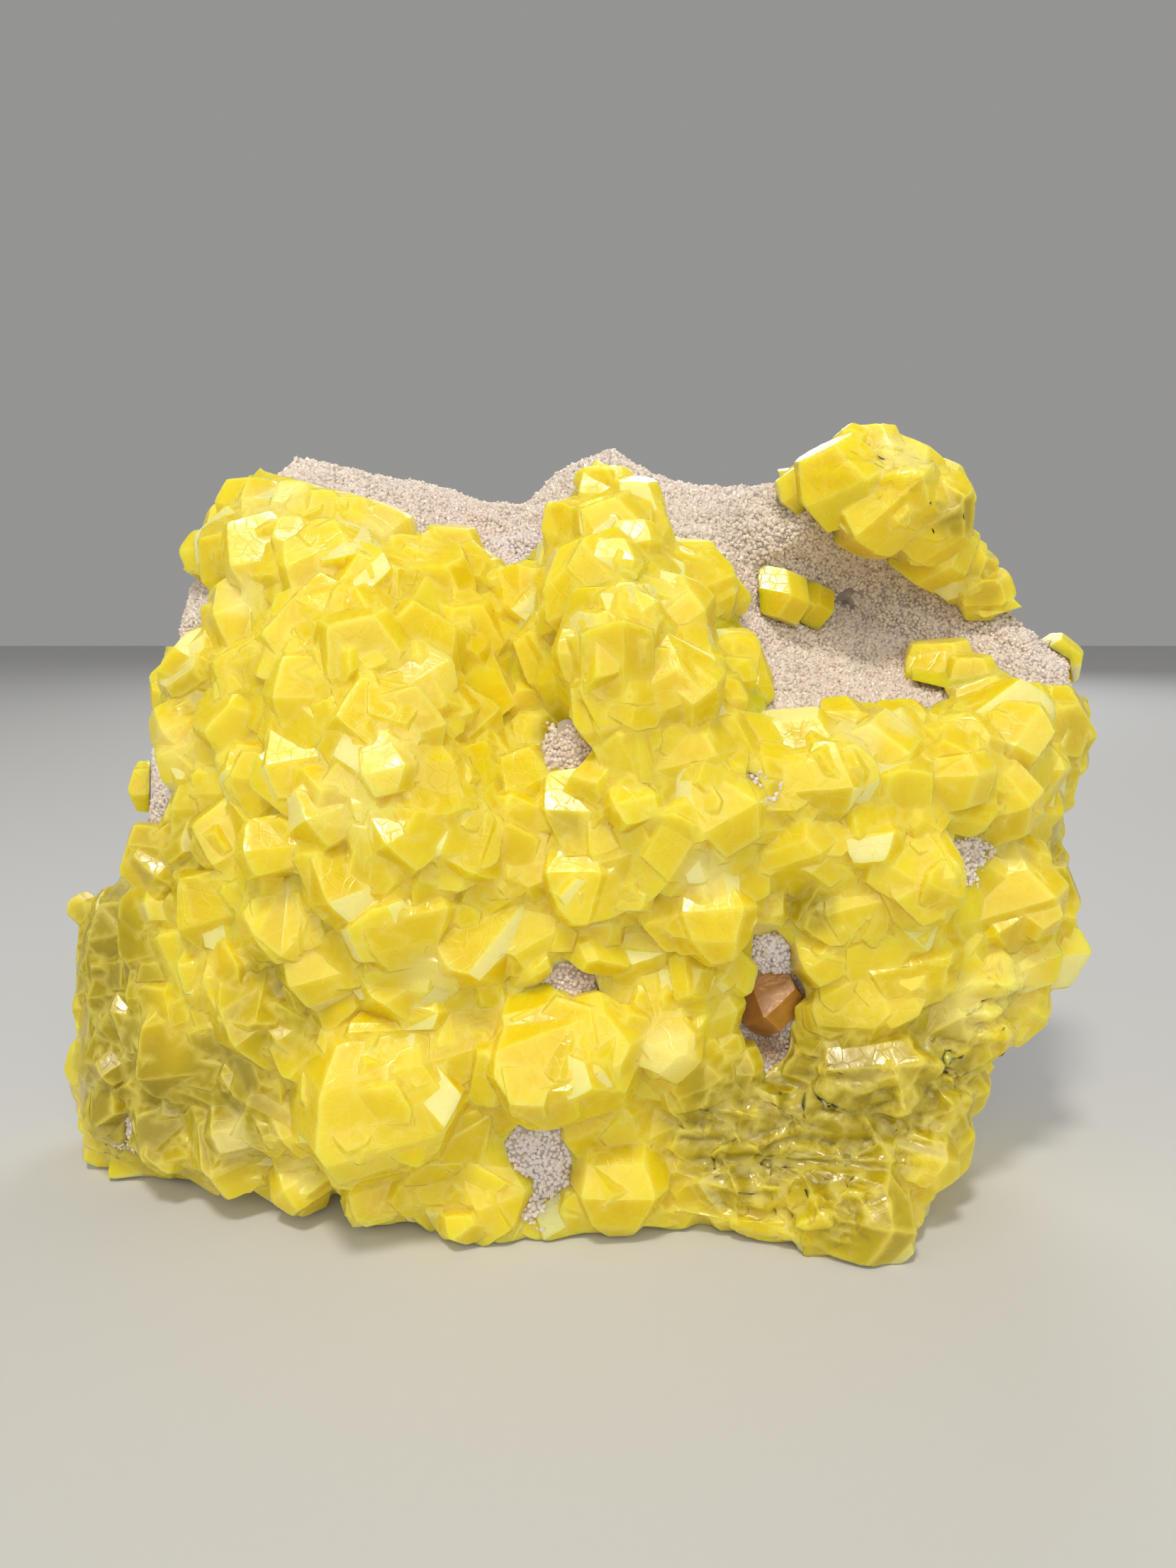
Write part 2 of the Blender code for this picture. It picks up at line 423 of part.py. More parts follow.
def place(across, up, forward=0.0):
    """The point that shows at a point of the card and lies that far in front of it."""
    return EYE + sight(across, up) * (CARD_DISTANCE - forward)


def hills_at(hills, across, up):
    """The summed height of smooth hills at a point of the card."""
    return sum(
        height * math.exp(-((across - x) / half_width) ** 2 - ((up - y) / half_height) ** 2)
        for x, y, half_width, half_height, height in hills
    )


def outline_reader():
    """A function that gives the outline's reach from the centre, and the rim's place, by angle."""
    corners = sorted(
        (math.atan2(up - LUMP_CENTRE[1], across - LUMP_CENTRE[0]), across, up, forward)
        for across, up, forward in OUTLINE
    )
    angles = [corner[0] for corner in corners]
    reaches = [math.hypot(x - LUMP_CENTRE[0], y - LUMP_CENTRE[1]) for _, x, y, _ in corners]
    rims = [corner[3] for corner in corners]

    def read(angle):
        reach = np.interp(angle, angles, reaches, period=2 * math.pi)
        rim = np.interp(angle, angles, rims, period=2 * math.pi)
        return float(reach), float(rim)

    return read


def roughness(point, scales):
    """Seeded rock roughness at a point."""
    return sum(height * noise.noise(point / size) for size, height in scales)


def ball_points():
    """Evenly spread points on a ball, as (turn, facing): facing runs from 1 at the front to -1."""
    golden_angle = math.pi * (3 - math.sqrt(5))
    for index in range(LUMP_POINTS):
        yield index * golden_angle, 1 - (2 * index + 1) / LUMP_POINTS


def lump_place(turn, facing, outline, growth):
    """Where a point of the ball lies on the lump, or on the lump grown by a distance.

    The front pole becomes the middle of the face, the equator the rim, and the back pole the
    middle of the rear.
    """
    reach, rim = outline(turn)
    spread = math.sqrt(1 - abs(facing) ** POLE_SPREAD)
    across = LUMP_CENTRE[0] + reach * spread * math.cos(turn)
    up = LUMP_CENTRE[1] + reach * spread * math.sin(turn)
    if facing > 0:
        swell = (1 - spread ** RIM_ROUNDNESS) ** (1 / RIM_ROUNDNESS)
        crown = FRONT_DEPTH + hills_at(FACE_HILLS, across, up)
        forward = rim + swell * (crown - rim) + growth
    else:
        swell = math.sqrt(1 - spread * spread)
        crown = -BACK_DEPTH - hills_at(REAR_HILLS, across, up)
        forward = rim + swell * (crown - rim) - growth
    sideways_growth = growth * spread ** RIM_GROWTH
    across += sideways_growth * math.cos(turn)
    up += sideways_growth * math.sin(turn)
    return place(across, up, forward)


def break_off(vert):
    """Bring a point of the rear that stands out past a flat break back onto it."""
    for direction, distance in REAR_BREAKS:
        outward = Vector(direction).normalized()
        excess = (vert.co - BREAK_CENTRE).dot(outward) - distance
        if excess > 0:
            vert.co -= outward * excess * BREAK_FLATNESS


def make_lump():
    """The matrix before it is cut, with a rough face and a rougher, broken rear."""
    outline = outline_reader()
    lump = bmesh.new()
    for turn, facing in ball_points():
        girth = math.sqrt(1 - facing * facing)
        lump.verts.new((girth * math.cos(turn), girth * math.sin(turn), facing))
    bmesh.ops.convex_hull(lump, input=lump.verts)
    for vert, (turn, facing) in zip(lump.verts, ball_points()):
        vert.co = lump_place(turn, facing, outline, 0.0)
        if facing < 0:
            break_off(vert)
    bmesh.ops.recalc_face_normals(lump, faces=lump.faces)
    lump.normal_update()
    moves = []
    for vert, (_, facing) in zip(lump.verts, ball_points()):
        face_part = min(1.0, max(0.0, 1 + facing / RIM_BLEND))
        height = face_part * roughness(vert.co, FACE_ROUGHNESS)
        height += (1 - face_part) * roughness(vert.co, REAR_ROUGHNESS)
        moves.append(vert.normal * height)
    for vert, move in zip(lump.verts, moves):
        vert.co += move
    return lump


def grown(lump, distance):
    """A copy of the lump with its surface moved out by a distance."""
    outline = outline_reader()
    copy = lump.copy()
    for vert, (turn, facing) in zip(copy.verts, ball_points()):
        vert.co += lump_place(turn, facing, outline, distance)
        vert.co -= lump_place(turn, facing, outline, 0.0)
    return copy


def with_gap(body):
    """A copy of a body that is larger all over by the contact gap."""
    copy = body.copy()
    copy.normal_update()
    moves = [vert.normal * CONTACT_GAP for vert in copy.verts]
    for vert, move in zip(copy.verts, moves):
        vert.co += move
    return copy


def cut_below(body, height):
    """Cut a body off flat at a height and close the cut."""
    bmesh.ops.bisect_plane(
        body,
        geom=body.verts[:] + body.edges[:] + body.faces[:],
        plane_co=(0, 0, height),
        plane_no=(0, 0, 1),
        clear_inner=True,
    )
    bmesh.ops.holes_fill(body, edges=[edge for edge in body.edges if edge.is_boundary])


def wedge(polygon, near, far):
    """The space that shows inside a polygon of the card, between two forward distances."""
    body = bmesh.new()
    near_ring = [body.verts.new(place(across, up, near)) for across, up in polygon]
    far_ring = [body.verts.new(place(across, up, far)) for across, up in polygon]
    body.faces.new(near_ring)
    body.faces.new(reversed(far_ring))
    count = len(polygon)
    for first in range(count):
        second = (first + 1) % count
        body.faces.new((near_ring[second], near_ring[first], far_ring[first], far_ring[second]))
    bmesh.ops.recalc_face_normals(body, faces=body.faces)
    return body


def inside_polygon(across, up, polygon):
    """Whether a point of the card lies in a polygon."""
    inside = False
    for (x1, y1), (x2, y2) in zip(polygon, polygon[1:] + polygon[:1]):
        if (y1 > up) != (y2 > up) and across < x1 + (up - y1) / (y2 - y1) * (x2 - x1):
            inside = not inside
    return inside


def distance_to_edge(across, up, polygon):
    """The shortest way from a point of the card to a polygon's edge."""
    point = Vector((across, up))
    best = math.inf
    for start, end in zip(polygon, polygon[1:] + polygon[:1]):
        edge = Vector(end) - Vector(start)
        along = max(0.0, min(1.0, (point - Vector(start)).dot(edge) / edge.length_squared))
        best = min(best, (point - Vector(start) - edge * along).length)
    return best


def crystal_planes(habit, axes):
    """The unit normals of a habit's faces and how far out each lies."""
    normals = []
    factors = []
    for form, factor in habit.items():
        signs = itertools.product(*[(1, -1) if index else (0,) for index in form])
        for sign in signs:
            normal = Vector(index * s / axis for index, s, axis in zip(form, sign, axes))
            normals.append(normal.normalized())
            factors.append(factor)
    return normals, factors


def corners_inside(normals, distances):
    """The corners of the convex body that a set of planes bounds."""
    trios = np.array(list(itertools.combinations(range(len(normals)), 3)))
    planes = normals[trios]
    meets = np.abs(np.linalg.det(planes)) > 1e-5
    corners = np.linalg.solve(planes[meets], distances[trios[meets]][..., None])[..., 0]
    inside = (corners @ normals.T <= distances + 1e-6).all(axis=1)
    return corners[inside]


def grow_crystal(centre, facing, size, lean, habit, axes, chance):
    """A crystal whose broad facet looks along facing, with its faces laid round an ellipsoid.

    The ellipsoid has the crystal's width, height and depth. The c axis leans from upright by
    lean, as seen from in front. Each face lies a little further out or in, by chance.
    """
    outward = facing.normalized()
    sideways = CARD_UP.cross(outward).normalized()
    upright = outward.cross(sideways)
    turned = Matrix((sideways, upright, outward)).transposed() @ Matrix.Rotation(lean, 3, "Z")
    normals, factors = crystal_planes(habit, axes)
    broad = normals[0]
    long_axis = (Vector((0, 0, 1)) - broad * broad.z).normalized()
    to_local = Matrix((long_axis.cross(broad), long_axis, broad))
    half = Vector(size) / 2
    local = [to_local @ normal for normal in normals]
    distances = np.array([
        Vector(a * b for a, b in zip(normal, half)).length
        * factor
        * (1 + chance.uniform(-FACE_JITTER, FACE_JITTER))
        for normal, factor in zip(local, factors)
    ])
    world = np.array([turned @ normal for normal in local])
    body = bmesh.new()
    for corner in corners_inside(world, distances):
        body.verts.new(centre + Vector(corner))
    bmesh.ops.remove_doubles(body, verts=body.verts, dist=SAME_CORNER)
    hull = bmesh.ops.convex_hull(body, input=body.verts)
    bmesh.ops.delete(body, geom=hull["geom_interior"], context="VERTS")
    bmesh.ops.dissolve_limit(body, angle_limit=SAME_FACET, verts=body.verts, edges=body.edges)
    bmesh.ops.recalc_face_normals(body, faces=body.faces)
    return body


def looking(spot, ground, look, chance):
    """The direction that a crystal's broad facet looks in, at a spot on the ground."""
    to_eye = (EYE - spot).normalized()
    if look == FLASH:
        return to_eye + SKYLIGHT
    if look == ALONG:
        stray = Vector(chance.uniform(-STRAY, STRAY) for _ in range(3))
        return ground + to_eye * EYE_PULL + stray
    right, up = (math.tan(math.radians(angle + chance.uniform(-LOOK_STRAY, LOOK_STRAY))) for angle in look)
    return to_eye + RIGHTWARD * right + CARD_UP * up


def seat_crystal(crystal, ground, chance, axes=SULFUR_AXES, beside=None):
    """Grow a crystal where its line of sight meets the ground, or where the ground is nearest."""
    spot = None
    if beside is None:
        beside = place(crystal.across, crystal.up)
        spot, normal, _, _ = ground.ray_cast(EYE, sight(crystal.across, crystal.up))
    if spot is None:
        spot, normal, _, _ = ground.find_nearest(beside)
    facing = looking(spot, normal, crystal.look, chance).normalized()
    wide = crystal.wide + OVERGROWTH
    tall = crystal.tall + OVERGROWTH
    depth = CRYSTAL_DEPTH * (wide + tall) / 2
    centre = spot + facing * (crystal.stand * min(wide, tall) - depth / 2)
    size = (wide, tall, depth)
    habit = HABITS[crystal.habit]
    if axes is CALCITE_AXES:
        habit = CALCITE_HABIT
    elif crystal.habit == "block" and max(crystal.wide, crystal.tall) >= RICH_SIZE:
        habit = HABITS["rich"]
    lean = math.radians(crystal.lean)
    return grow_crystal(centre, facing, size, lean, habit, axes, chance)


def fill_crystals(chance):
    """Small crystals on a jittered honeycomb over the main crust, clear of the windows."""
    crystals = []
    for row, column in itertools.product(FILL_ROWS, FILL_COLUMNS):
        across = (column + 0.5 * (row % 2)) * FILL_SPACING
        across += chance.uniform(-FILL_STRAY, FILL_STRAY)
        up = row * FILL_SPACING * HONEYCOMB + FILL_MIDDLE_ROW
        up += chance.uniform(-FILL_STRAY, FILL_STRAY)
        size = chance.uniform(*FILL_SIZE)
        lean = chance.uniform(-ANY_LEAN, ANY_LEAN)
        if not inside_polygon(across, up, MAIN_REGION):
            continue
        if not inside_polygon(across, up, [(x, y) for x, y, _ in OUTLINE]):
            continue
        if distance_to_edge(across, up, MAIN_REGION) < size / 2:
            continue
        if any(
            inside_polygon(across, up, window) or distance_to_edge(across, up, window) < size / 2
            for window in WINDOWS
        ):
            continue
        crystals.append(Crystal(across, up, size, size, lean, ALONG, FILL_STAND, "stub"))
    return crystals


def rim_crystals(region, sizes, chance):
    """Crystals in rows along the rim of a crust, where it turns over to the rear.

    Each is a crystal with the place that it stands nearest to.
    """
    outline = outline_reader()
    crystals = []
    for index, row in itertools.product(range(RIM_COUNT), RIM_ROWS):
        step = index + chance.uniform(-RIM_STRAY_ALONG, RIM_STRAY_ALONG)
        angle = step * 2 * math.pi / RIM_COUNT
        reach, rim = outline(angle)
        across = LUMP_CENTRE[0] + reach * math.cos(angle)
        up = LUMP_CENTRE[1] + reach * math.sin(angle)
        size = chance.uniform(*sizes)
        lean = chance.uniform(-ANY_LEAN, ANY_LEAN)
        forward = rim + row + chance.uniform(-RIM_STRAY_FORWARD, RIM_STRAY_FORWARD)
        if not inside_polygon(across, up, region):
            continue
        if distance_to_edge(across, up, region) > size / 2:
            crystal = Crystal(across, up, size, size, lean, ALONG, RIM_STAND)
            crystals.append((crystal, place(across, up, forward)))
    return crystals


def as_object(name, body):
    """A mesh object made from a bmesh."""
    mesh = bpy.data.meshes.new(name)
    body.to_mesh(mesh)
    body.free()
    thing = bpy.data.objects.new(name, mesh)
    bpy.context.collection.objects.link(thing)
    return thing


def combine(thing, operation, bodies):
    """Apply one exact Boolean of an object with a list of bodies, and return the new bmesh."""
    group = bpy.data.collections.new("operands")
    bpy.context.scene.collection.children.link(group)
    operands = [as_object("operand", body) for body in bodies]
    for operand in operands:
        bpy.context.collection.objects.unlink(operand)
        group.objects.link(operand)
    modifier = thing.modifiers.new("combine", "BOOLEAN")
    modifier.operation = operation
    modifier.operand_type = "COLLECTION"
    modifier.collection = group
    modifier.solver = "EXACT"
    depsgraph = bpy.context.evaluated_depsgraph_get()
    result = bmesh.new()
    result.from_mesh(thing.evaluated_get(depsgraph).to_mesh())
    for operand in operands:
        bpy.data.objects.remove(operand)
    bpy.data.collections.remove(group)
    bpy.data.objects.remove(thing)
    return result


def keep_largest(body):
    """Delete all but the largest connected piece of a bmesh."""
    unseen = set(body.verts)
    pieces = []
    while unseen:
        piece = set()
        edge_of_piece = [unseen.pop()]
        while edge_of_piece:
            vert = edge_of_piece.pop()
            piece.add(vert)
            for edge in vert.link_edges:
                other = edge.other_vert(vert)
                if other in unseen:
                    unseen.discard(other)
                    edge_of_piece.append(other)
        pieces.append(piece)
    pieces.sort(key=len, reverse=True)
    for piece in pieces[1:]:
        bmesh.ops.delete(body, geom=list(piece), context="VERTS")


def make_crust(lump, region, windows, crystals, rim_sizes, neighbours, chance):
    """A sheet over a region of the lump, grown together with its crystals, in one solid.

    It keeps the contact gap to the lump and to its neighbours.
    """
    sheet = grown(lump, SHEET_THICKNESS)
    ground = BVHTree.FromBMesh(sheet)
    sheet = combine(as_object("sheet", sheet), "INTERSECT", [wedge(region, PAST_FRONT, WRAP_BEHIND)])
    if windows:
        openings = [wedge(window, PAST_FRONT, WINDOW_BACK) for window in windows]
        sheet = combine(as_object("sheet", sheet), "DIFFERENCE", openings)
    bodies = [seat_crystal(crystal, ground, chance) for crystal in crystals]
    for crystal, beside in rim_crystals(region, rim_sizes, chance):
        bodies.append(seat_crystal(crystal, ground, chance, beside=beside))
    crust = combine(as_object("sheet", sheet), "UNION", bodies)
    hollows = [with_gap(body) for body in [lump, *neighbours]]
    crust = combine(as_object("crust", crust), "DIFFERENCE", hollows)
    cut_below(crust, FLOOR_GAP)
    keep_largest(crust)
    return crust


def make_small_piece(lump, crystals, chance, axes=SULFUR_AXES):
    """One or a few crystals grown together straight on the druse."""
    ground = BVHTree.FromBMesh(lump)
    bodies = [seat_crystal(crystal, ground, chance, axes) for crystal in crystals]
    piece = as_object("piece", bodies[0])
    if len(bodies) > 1:
        piece = as_object("piece", combine(piece, "UNION", bodies[1:]))
    piece = combine(piece, "DIFFERENCE", [with_gap(lump)])
    keep_largest(piece)
    return piece


def principled(name, colour, roughness_value):
    """A plain Principled material."""
    material = bpy.data.materials.new(name)
    material.use_nodes = True
    shader = material.node_tree.nodes["Principled BSDF"]
    shader.inputs["Base Color"].default_value = colour
    shader.inputs["Roughness"].default_value = roughness_value
    shader.inputs["Metallic"].default_value = 0.0
    return material


def finish(name, body, centre, material):
    """Make the final object in metres, with the specimen's base centre at the origin."""
    bmesh.ops.translate(body, verts=body.verts, vec=-centre)
    bmesh.ops.scale(body, verts=body.verts, vec=(MM, MM, MM))
    bmesh.ops.dissolve_limit(body, angle_limit=SAME_FACET, verts=body.verts, edges=body.edges)
    triangles = sum(len(face.verts) - 2 for face in body.faces)
    thing = as_object(name, body)
    thing.data.materials.append(material)
    if triangles > MOST_TRIANGLES:
        thinning = thing.modifiers.new("thinning", "DECIMATE")
        thinning.ratio = MOST_TRIANGLES / triangles


def main():
    for thing in list(bpy.data.objects):
        bpy.data.objects.remove(thing)

    chance = random.Random(SEED)
    lump = make_lump()
    pieces = {
        name: make_small_piece(lump, crystals, chance)
        for name, crystals in LONE_CRYSTALS.items()
    }
    pieces["calcite_crystal"] = make_small_piece(lump, [CALCITE], chance, CALCITE_AXES)
    neighbours = list(pieces.values())
    crystals = MAIN_CRYSTALS + fill_crystals(chance)
    pieces["sulfur_main_cluster"] = make_crust(
        lump, MAIN_REGION, WINDOWS, crystals, MAIN_RIM_SIZE, neighbours, chance
    )
    pieces["sulfur_crest"] = make_crust(
        lump, CREST_REGION, [], CREST, CREST_RIM_SIZE, neighbours, chance
    )
    cut_below(lump, 0.0)
    pieces["matrix"] = lump

    places = [vert.co for body in pieces.values() for vert in body.verts]
    middle = [
        (min(p[axis] for p in places) + max(p[axis] for p in places)) / 2 for axis in (0, 1)
    ]
    centre = Vector((middle[0], middle[1], 0.0))
    sulfur = principled("sulfur", SULFUR_COLOUR, 0.3)
    for name, body in pieces.items():
        material = sulfur
        if name == "matrix":
            material = principled("druse_and_rock", MATRIX_COLOUR, 0.75)
        if name == "calcite_crystal":
            material = principled("brown_calcite", CALCITE_COLOUR, 0.35)
        finish(name, body, centre, material)
    return centre


main()
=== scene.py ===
import itertools
import json
import math
import random
import bmesh
import bpy
import numpy as np
from mathutils import Matrix, Vector, noise
from mathutils.bvhtree import BVHTree

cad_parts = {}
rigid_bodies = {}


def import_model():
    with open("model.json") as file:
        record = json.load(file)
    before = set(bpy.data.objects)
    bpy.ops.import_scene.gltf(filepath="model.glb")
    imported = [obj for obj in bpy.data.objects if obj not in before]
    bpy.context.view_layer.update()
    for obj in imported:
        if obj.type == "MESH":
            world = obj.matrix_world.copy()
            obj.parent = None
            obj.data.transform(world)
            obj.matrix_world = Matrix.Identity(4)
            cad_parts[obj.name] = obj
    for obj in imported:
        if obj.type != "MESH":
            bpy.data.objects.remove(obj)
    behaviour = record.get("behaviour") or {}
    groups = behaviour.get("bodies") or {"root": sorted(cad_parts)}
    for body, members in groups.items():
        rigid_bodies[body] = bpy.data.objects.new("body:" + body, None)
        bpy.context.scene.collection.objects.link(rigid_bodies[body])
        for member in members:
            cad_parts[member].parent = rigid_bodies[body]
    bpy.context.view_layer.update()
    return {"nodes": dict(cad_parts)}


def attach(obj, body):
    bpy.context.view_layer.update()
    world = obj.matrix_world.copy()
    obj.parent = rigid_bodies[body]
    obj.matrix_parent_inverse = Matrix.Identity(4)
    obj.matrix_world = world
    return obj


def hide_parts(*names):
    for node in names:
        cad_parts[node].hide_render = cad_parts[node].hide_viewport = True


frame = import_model()

# ---------------------------------------------------------------------------------------------
# The rock: a broken lump of grey stone, perhaps marl, that the sulfur grew on. Its back and
# underside are rough breaks, and the druse grows on what shows of its front and top.
# ---------------------------------------------------------------------------------------------
MM = 0.001
EYE = Vector((1.560, -139.996, 71.0)) * MM
LOOK_DOWN = math.radians(9.6)
AHEAD = Vector((0, math.cos(LOOK_DOWN), -math.sin(LOOK_DOWN)))
CARD_UP = Vector((0, math.sin(LOOK_DOWN), math.cos(LOOK_DOWN)))
RIGHTWARD = Vector((1, 0, 0))
CARD_DISTANCE = 140 * MM


def tree_of(*names):
    """A search tree over CAD nodes, for placing things on them."""
    points, faces = [], []
    for name in names:
        mesh = frame["nodes"][name].data
        start = len(points)
        points += [v.co.copy() for v in mesh.vertices]
        faces += [[start + i for i in p.vertices] for p in mesh.polygons]
    return BVHTree.FromPolygons(points, faces)


def toward(across, up):
    """The way to a place so many millimetres across and up a card held before the rock."""
    return (AHEAD * CARD_DISTANCE + (RIGHTWARD * across + CARD_UP * up) * MM).normalized()


def on_front(tree, across, up):
    """The point that shows at a place across and up, or the nearest to it."""
    hit = tree.ray_cast(EYE, toward(across, up))[0]
    if hit is None:
        hit = tree.find_nearest(EYE + toward(across, up) * CARD_DISTANCE)[0]
    return hit


CRUSTS = tree_of("sulfur_main_cluster", "sulfur_crest")
ROCK = tree_of("matrix")


JOIN_WITHIN = 0.002 * MM


def merged(name):
    """A bmesh copy of a CAD node with its doubles merged."""
    body = bmesh.new()
    body.from_mesh(frame["nodes"][name].data)
    bmesh.ops.remove_doubles(body, verts=body.verts, dist=JOIN_WITHIN)
    return body


def drop_flaps(body):
    """Takes out faces that lie back to back on the same corners, a pair at a time."""
    seen = {}
    for face in body.faces:
        seen.setdefault(frozenset(v.index for v in face.verts), []).append(face)
    flaps = [f for same in seen.values() if len(same) > 1
             for f in same[len(same) % 2:]]
    if flaps:
        bmesh.ops.delete(body, geom=flaps, context="FACES")


PLACE_DIGITS = 8


def put_in_order(items, place):
    """Sorts a bmesh's corners or faces by place, so that every run gives the same order."""
    ranked = sorted(items, key=lambda item: tuple(round(c, PLACE_DIGITS) for c in place(item)))
    for rank, item in enumerate(ranked):
        item.index = rank
    items.sort()
    items.index_update()


MOST_CUTS = 7


def refine(body, longest, wanted):
    """Cuts the edges round the faces marked in the wanted layer until none is over longest."""
    for _ in range(MOST_CUTS):
        long_edges = [e for e in body.edges if e.calc_length() > longest
                      and any(f[wanted] for f in e.link_faces)]
        if not long_edges:
            break
        bmesh.ops.subdivide_edges(body, edges=long_edges, cuts=1)
        bmesh.ops.triangulate(body, faces=[f for f in body.faces if len(f.verts) > 3])
        body.verts.index_update()
        drop_flaps(body)
    put_in_order(body.verts, lambda v: v.co)
    put_in_order(body.faces, lambda f: f.calc_center_median())


def stand_on_floor(body):
    """Flattens what dips under the floor that the specimen stands on."""
    for vert in body.verts:
        vert.co.z = max(vert.co.z, 0.0)


def new_piece(name, body, material=None):
    """An object at the origin from a bmesh."""
    mesh = bpy.data.meshes.new(name)
    body.to_mesh(mesh)
    body.free()
    piece = bpy.data.objects.new(name, mesh)
    bpy.context.scene.collection.objects.link(piece)
    if material:
        mesh.materials.append(material)
    return piece


class Link:
    """One output of a node, so that sums on it read as they are written."""

    def __init__(self, graph, socket):
        self.graph = graph
        self.socket = socket

    def sum(self, operation, *values):
        return self.graph.node("ShaderNodeMath", {"operation": operation}, *values)

    def __add__(self, other):
        return self.sum("ADD", self, other)

    def __radd__(self, other):
        return self.sum("ADD", other, self)

    def __sub__(self, other):
        return self.sum("SUBTRACT", self, other)

    def __rsub__(self, other):
        return self.sum("SUBTRACT", other, self)

    def __mul__(self, other):
        return self.sum("MULTIPLY", self, other)

    def __rmul__(self, other):
        return self.sum("MULTIPLY", other, self)

    def __truediv__(self, other):
        return self.sum("DIVIDE", self, other)

    def __rtruediv__(self, other):
        return self.sum("DIVIDE", other, self)


class Graph:
    """A node tree, with one method that adds any node to it."""

    def __init__(self, tree):
        self.tree = tree

    def node(self, kind, settings, *values, out=0, **named):
        made = self.tree.nodes.new(kind)
        for key, value in settings.items():
            setattr(made, key, value)
        for key, value in [*enumerate(values), *named.items()]:
            name = key if isinstance(key, int) else key.replace("_", " ")
            target = made.inputs[name]
            if isinstance(value, Link):
                self.tree.links.new(value.socket, target)
            elif value is not None:
                target.default_value = value
        return Link(self, made.outputs[out]) if len(made.outputs) else made


class Finish(Graph):
    """A Principled material, its shader's constant values, and the patterns it is made from."""

    # Where a Mix node keeps its factor, its two colours and its coloured result.
    MIX_FACTOR, MIX_FIRST, MIX_SECOND, MIX_RESULT = 0, 6, 7, 2

    def __init__(self, name, **constants):
        self.material = bpy.data.materials.new(name)
        self.material.use_nodes = True
        super().__init__(self.material.node_tree)
        self.shader = self.tree.nodes["Principled BSDF"]
        for key, value in constants.items():
            self.shader.inputs[key.replace("_", " ")].default_value = value
        coordinates = self.tree.nodes.new("ShaderNodeTexCoord")
        self.place = self.node("ShaderNodeVectorMath", {"operation": "SCALE"},
                               Link(self, coordinates.outputs["Object"]), Scale=1 / MM)

    def feed(self, **links):
        for key, link in links.items():
            self.tree.links.new(link.socket, self.shader.inputs[key.replace("_", " ")])

    def clouds(self, scale, detail=3.0, roughness=0.55, distortion=0.0, place=None):
        return self.node("ShaderNodeTexNoise", {}, out="Fac", Vector=place or self.place,
                         Scale=scale, Detail=detail, Roughness=roughness,
                         Distortion=distortion)

    def cells(self, scale, feature="F1", out="Distance", randomness=1.0, place=None):
        return self.node("ShaderNodeTexVoronoi", {"feature": feature}, out=out,
                         Vector=place or self.place, Scale=scale, Randomness=randomness)

    def step(self, value, low, high, to_low=0.0, to_high=1.0):
        return self.node("ShaderNodeMapRange", {"interpolation_type": "SMOOTHSTEP"}, value,
                         low, high, to_low, to_high)

    def mix(self, share, first, second, blend="MIX"):
        made = self.tree.nodes.new("ShaderNodeMix")
        made.data_type = "RGBA"
        made.blend_type = blend
        for index, value in ((self.MIX_FACTOR, share), (self.MIX_FIRST, first),
                             (self.MIX_SECOND, second)):
            if isinstance(value, Link):
                self.tree.links.new(value.socket, made.inputs[index])
            elif index == self.MIX_FACTOR:
                made.inputs[index].default_value = value
            else:
                made.inputs[index].default_value = (*value, 1)
        return Link(self, made.outputs[self.MIX_RESULT])

    def bump(self, height, distance, strength=1.0, under=None):
        return self.node("ShaderNodeBump", {}, out="Normal", Strength=strength,
                         Distance=distance * MM, Height=height, Normal=under)

    def attribute(self, name):
        return self.node("ShaderNodeAttribute", {"attribute_name": name}, out="Fac")


BACK_OF_DRUSE = 12 * MM
FURTHER_ON_TOP = 12 * MM
DRUSE_FADE = 2 * MM
DRUSE_SINK = 0.30 * MM
# How far the druse's edge wanders, in millimetres, and how tight its bends are.
WANDER, BENDS = 7, 0.13


def druse_share(point, normal):
    """How far the druse covers a place on the rock, from 0 on a bare break to 1."""
    ragged = noise.fractal(point / MM * BENDS, 0.6, 2.0, 3) * WANDER * MM
    ahead = BACK_OF_DRUSE + ragged - point.y + FURTHER_ON_TOP * max(normal.z, 0)
    under = normal.z * 10 * MM + 4 * MM + point.z * 0.5
    return max(0.0, min(1.0, ahead / DRUSE_FADE, under / DRUSE_FADE))


# Mounds of druse that fill the windows in the crust: (across, up, radius, height). Each is
# level over its middle, and STEEP sets how soon it falls away.
STEEP = 1.7
MOUNDS = [(-2.5, 4, 5, 1.9), (21.3, -1, 5, 1.9), (47.3, -9.2, 6, 2.0), (-3.6, -25.6, 8, 2.0),
          (-6, -46, 7, 2.0), (-5.5, -53, 7, 1.8), (-57.6, -43, 6, 2.2), (23.4, -21, 4, 1.6),
          (26.6, -30, 3.5, 1.6), (21.5, -36, 3, 1.6)]
mounds = [(on_front(ROCK, across, up), radius * MM, height * MM)
          for across, up, radius, height in MOUNDS]


def mound_height(point):
    """How far the druse mounds raise a place on the rock."""
    tallest = 0.0
    for centre, radius, height in mounds:
        near = min(1.0, STEEP * max(0.0, 1 - (point - centre).length / radius))
        tallest = max(tallest, height * near * near * (3 - 2 * near))
    return tallest


ROCK_EDGE = 1.1 * MM
CRUST_GAP = 5 * MM
# The relief of the rough breaks, in millimetres: large chips, and the grain of the rock.
CHIPS, GRAIN = 1.5, 0.45
LUMPS = 0.35

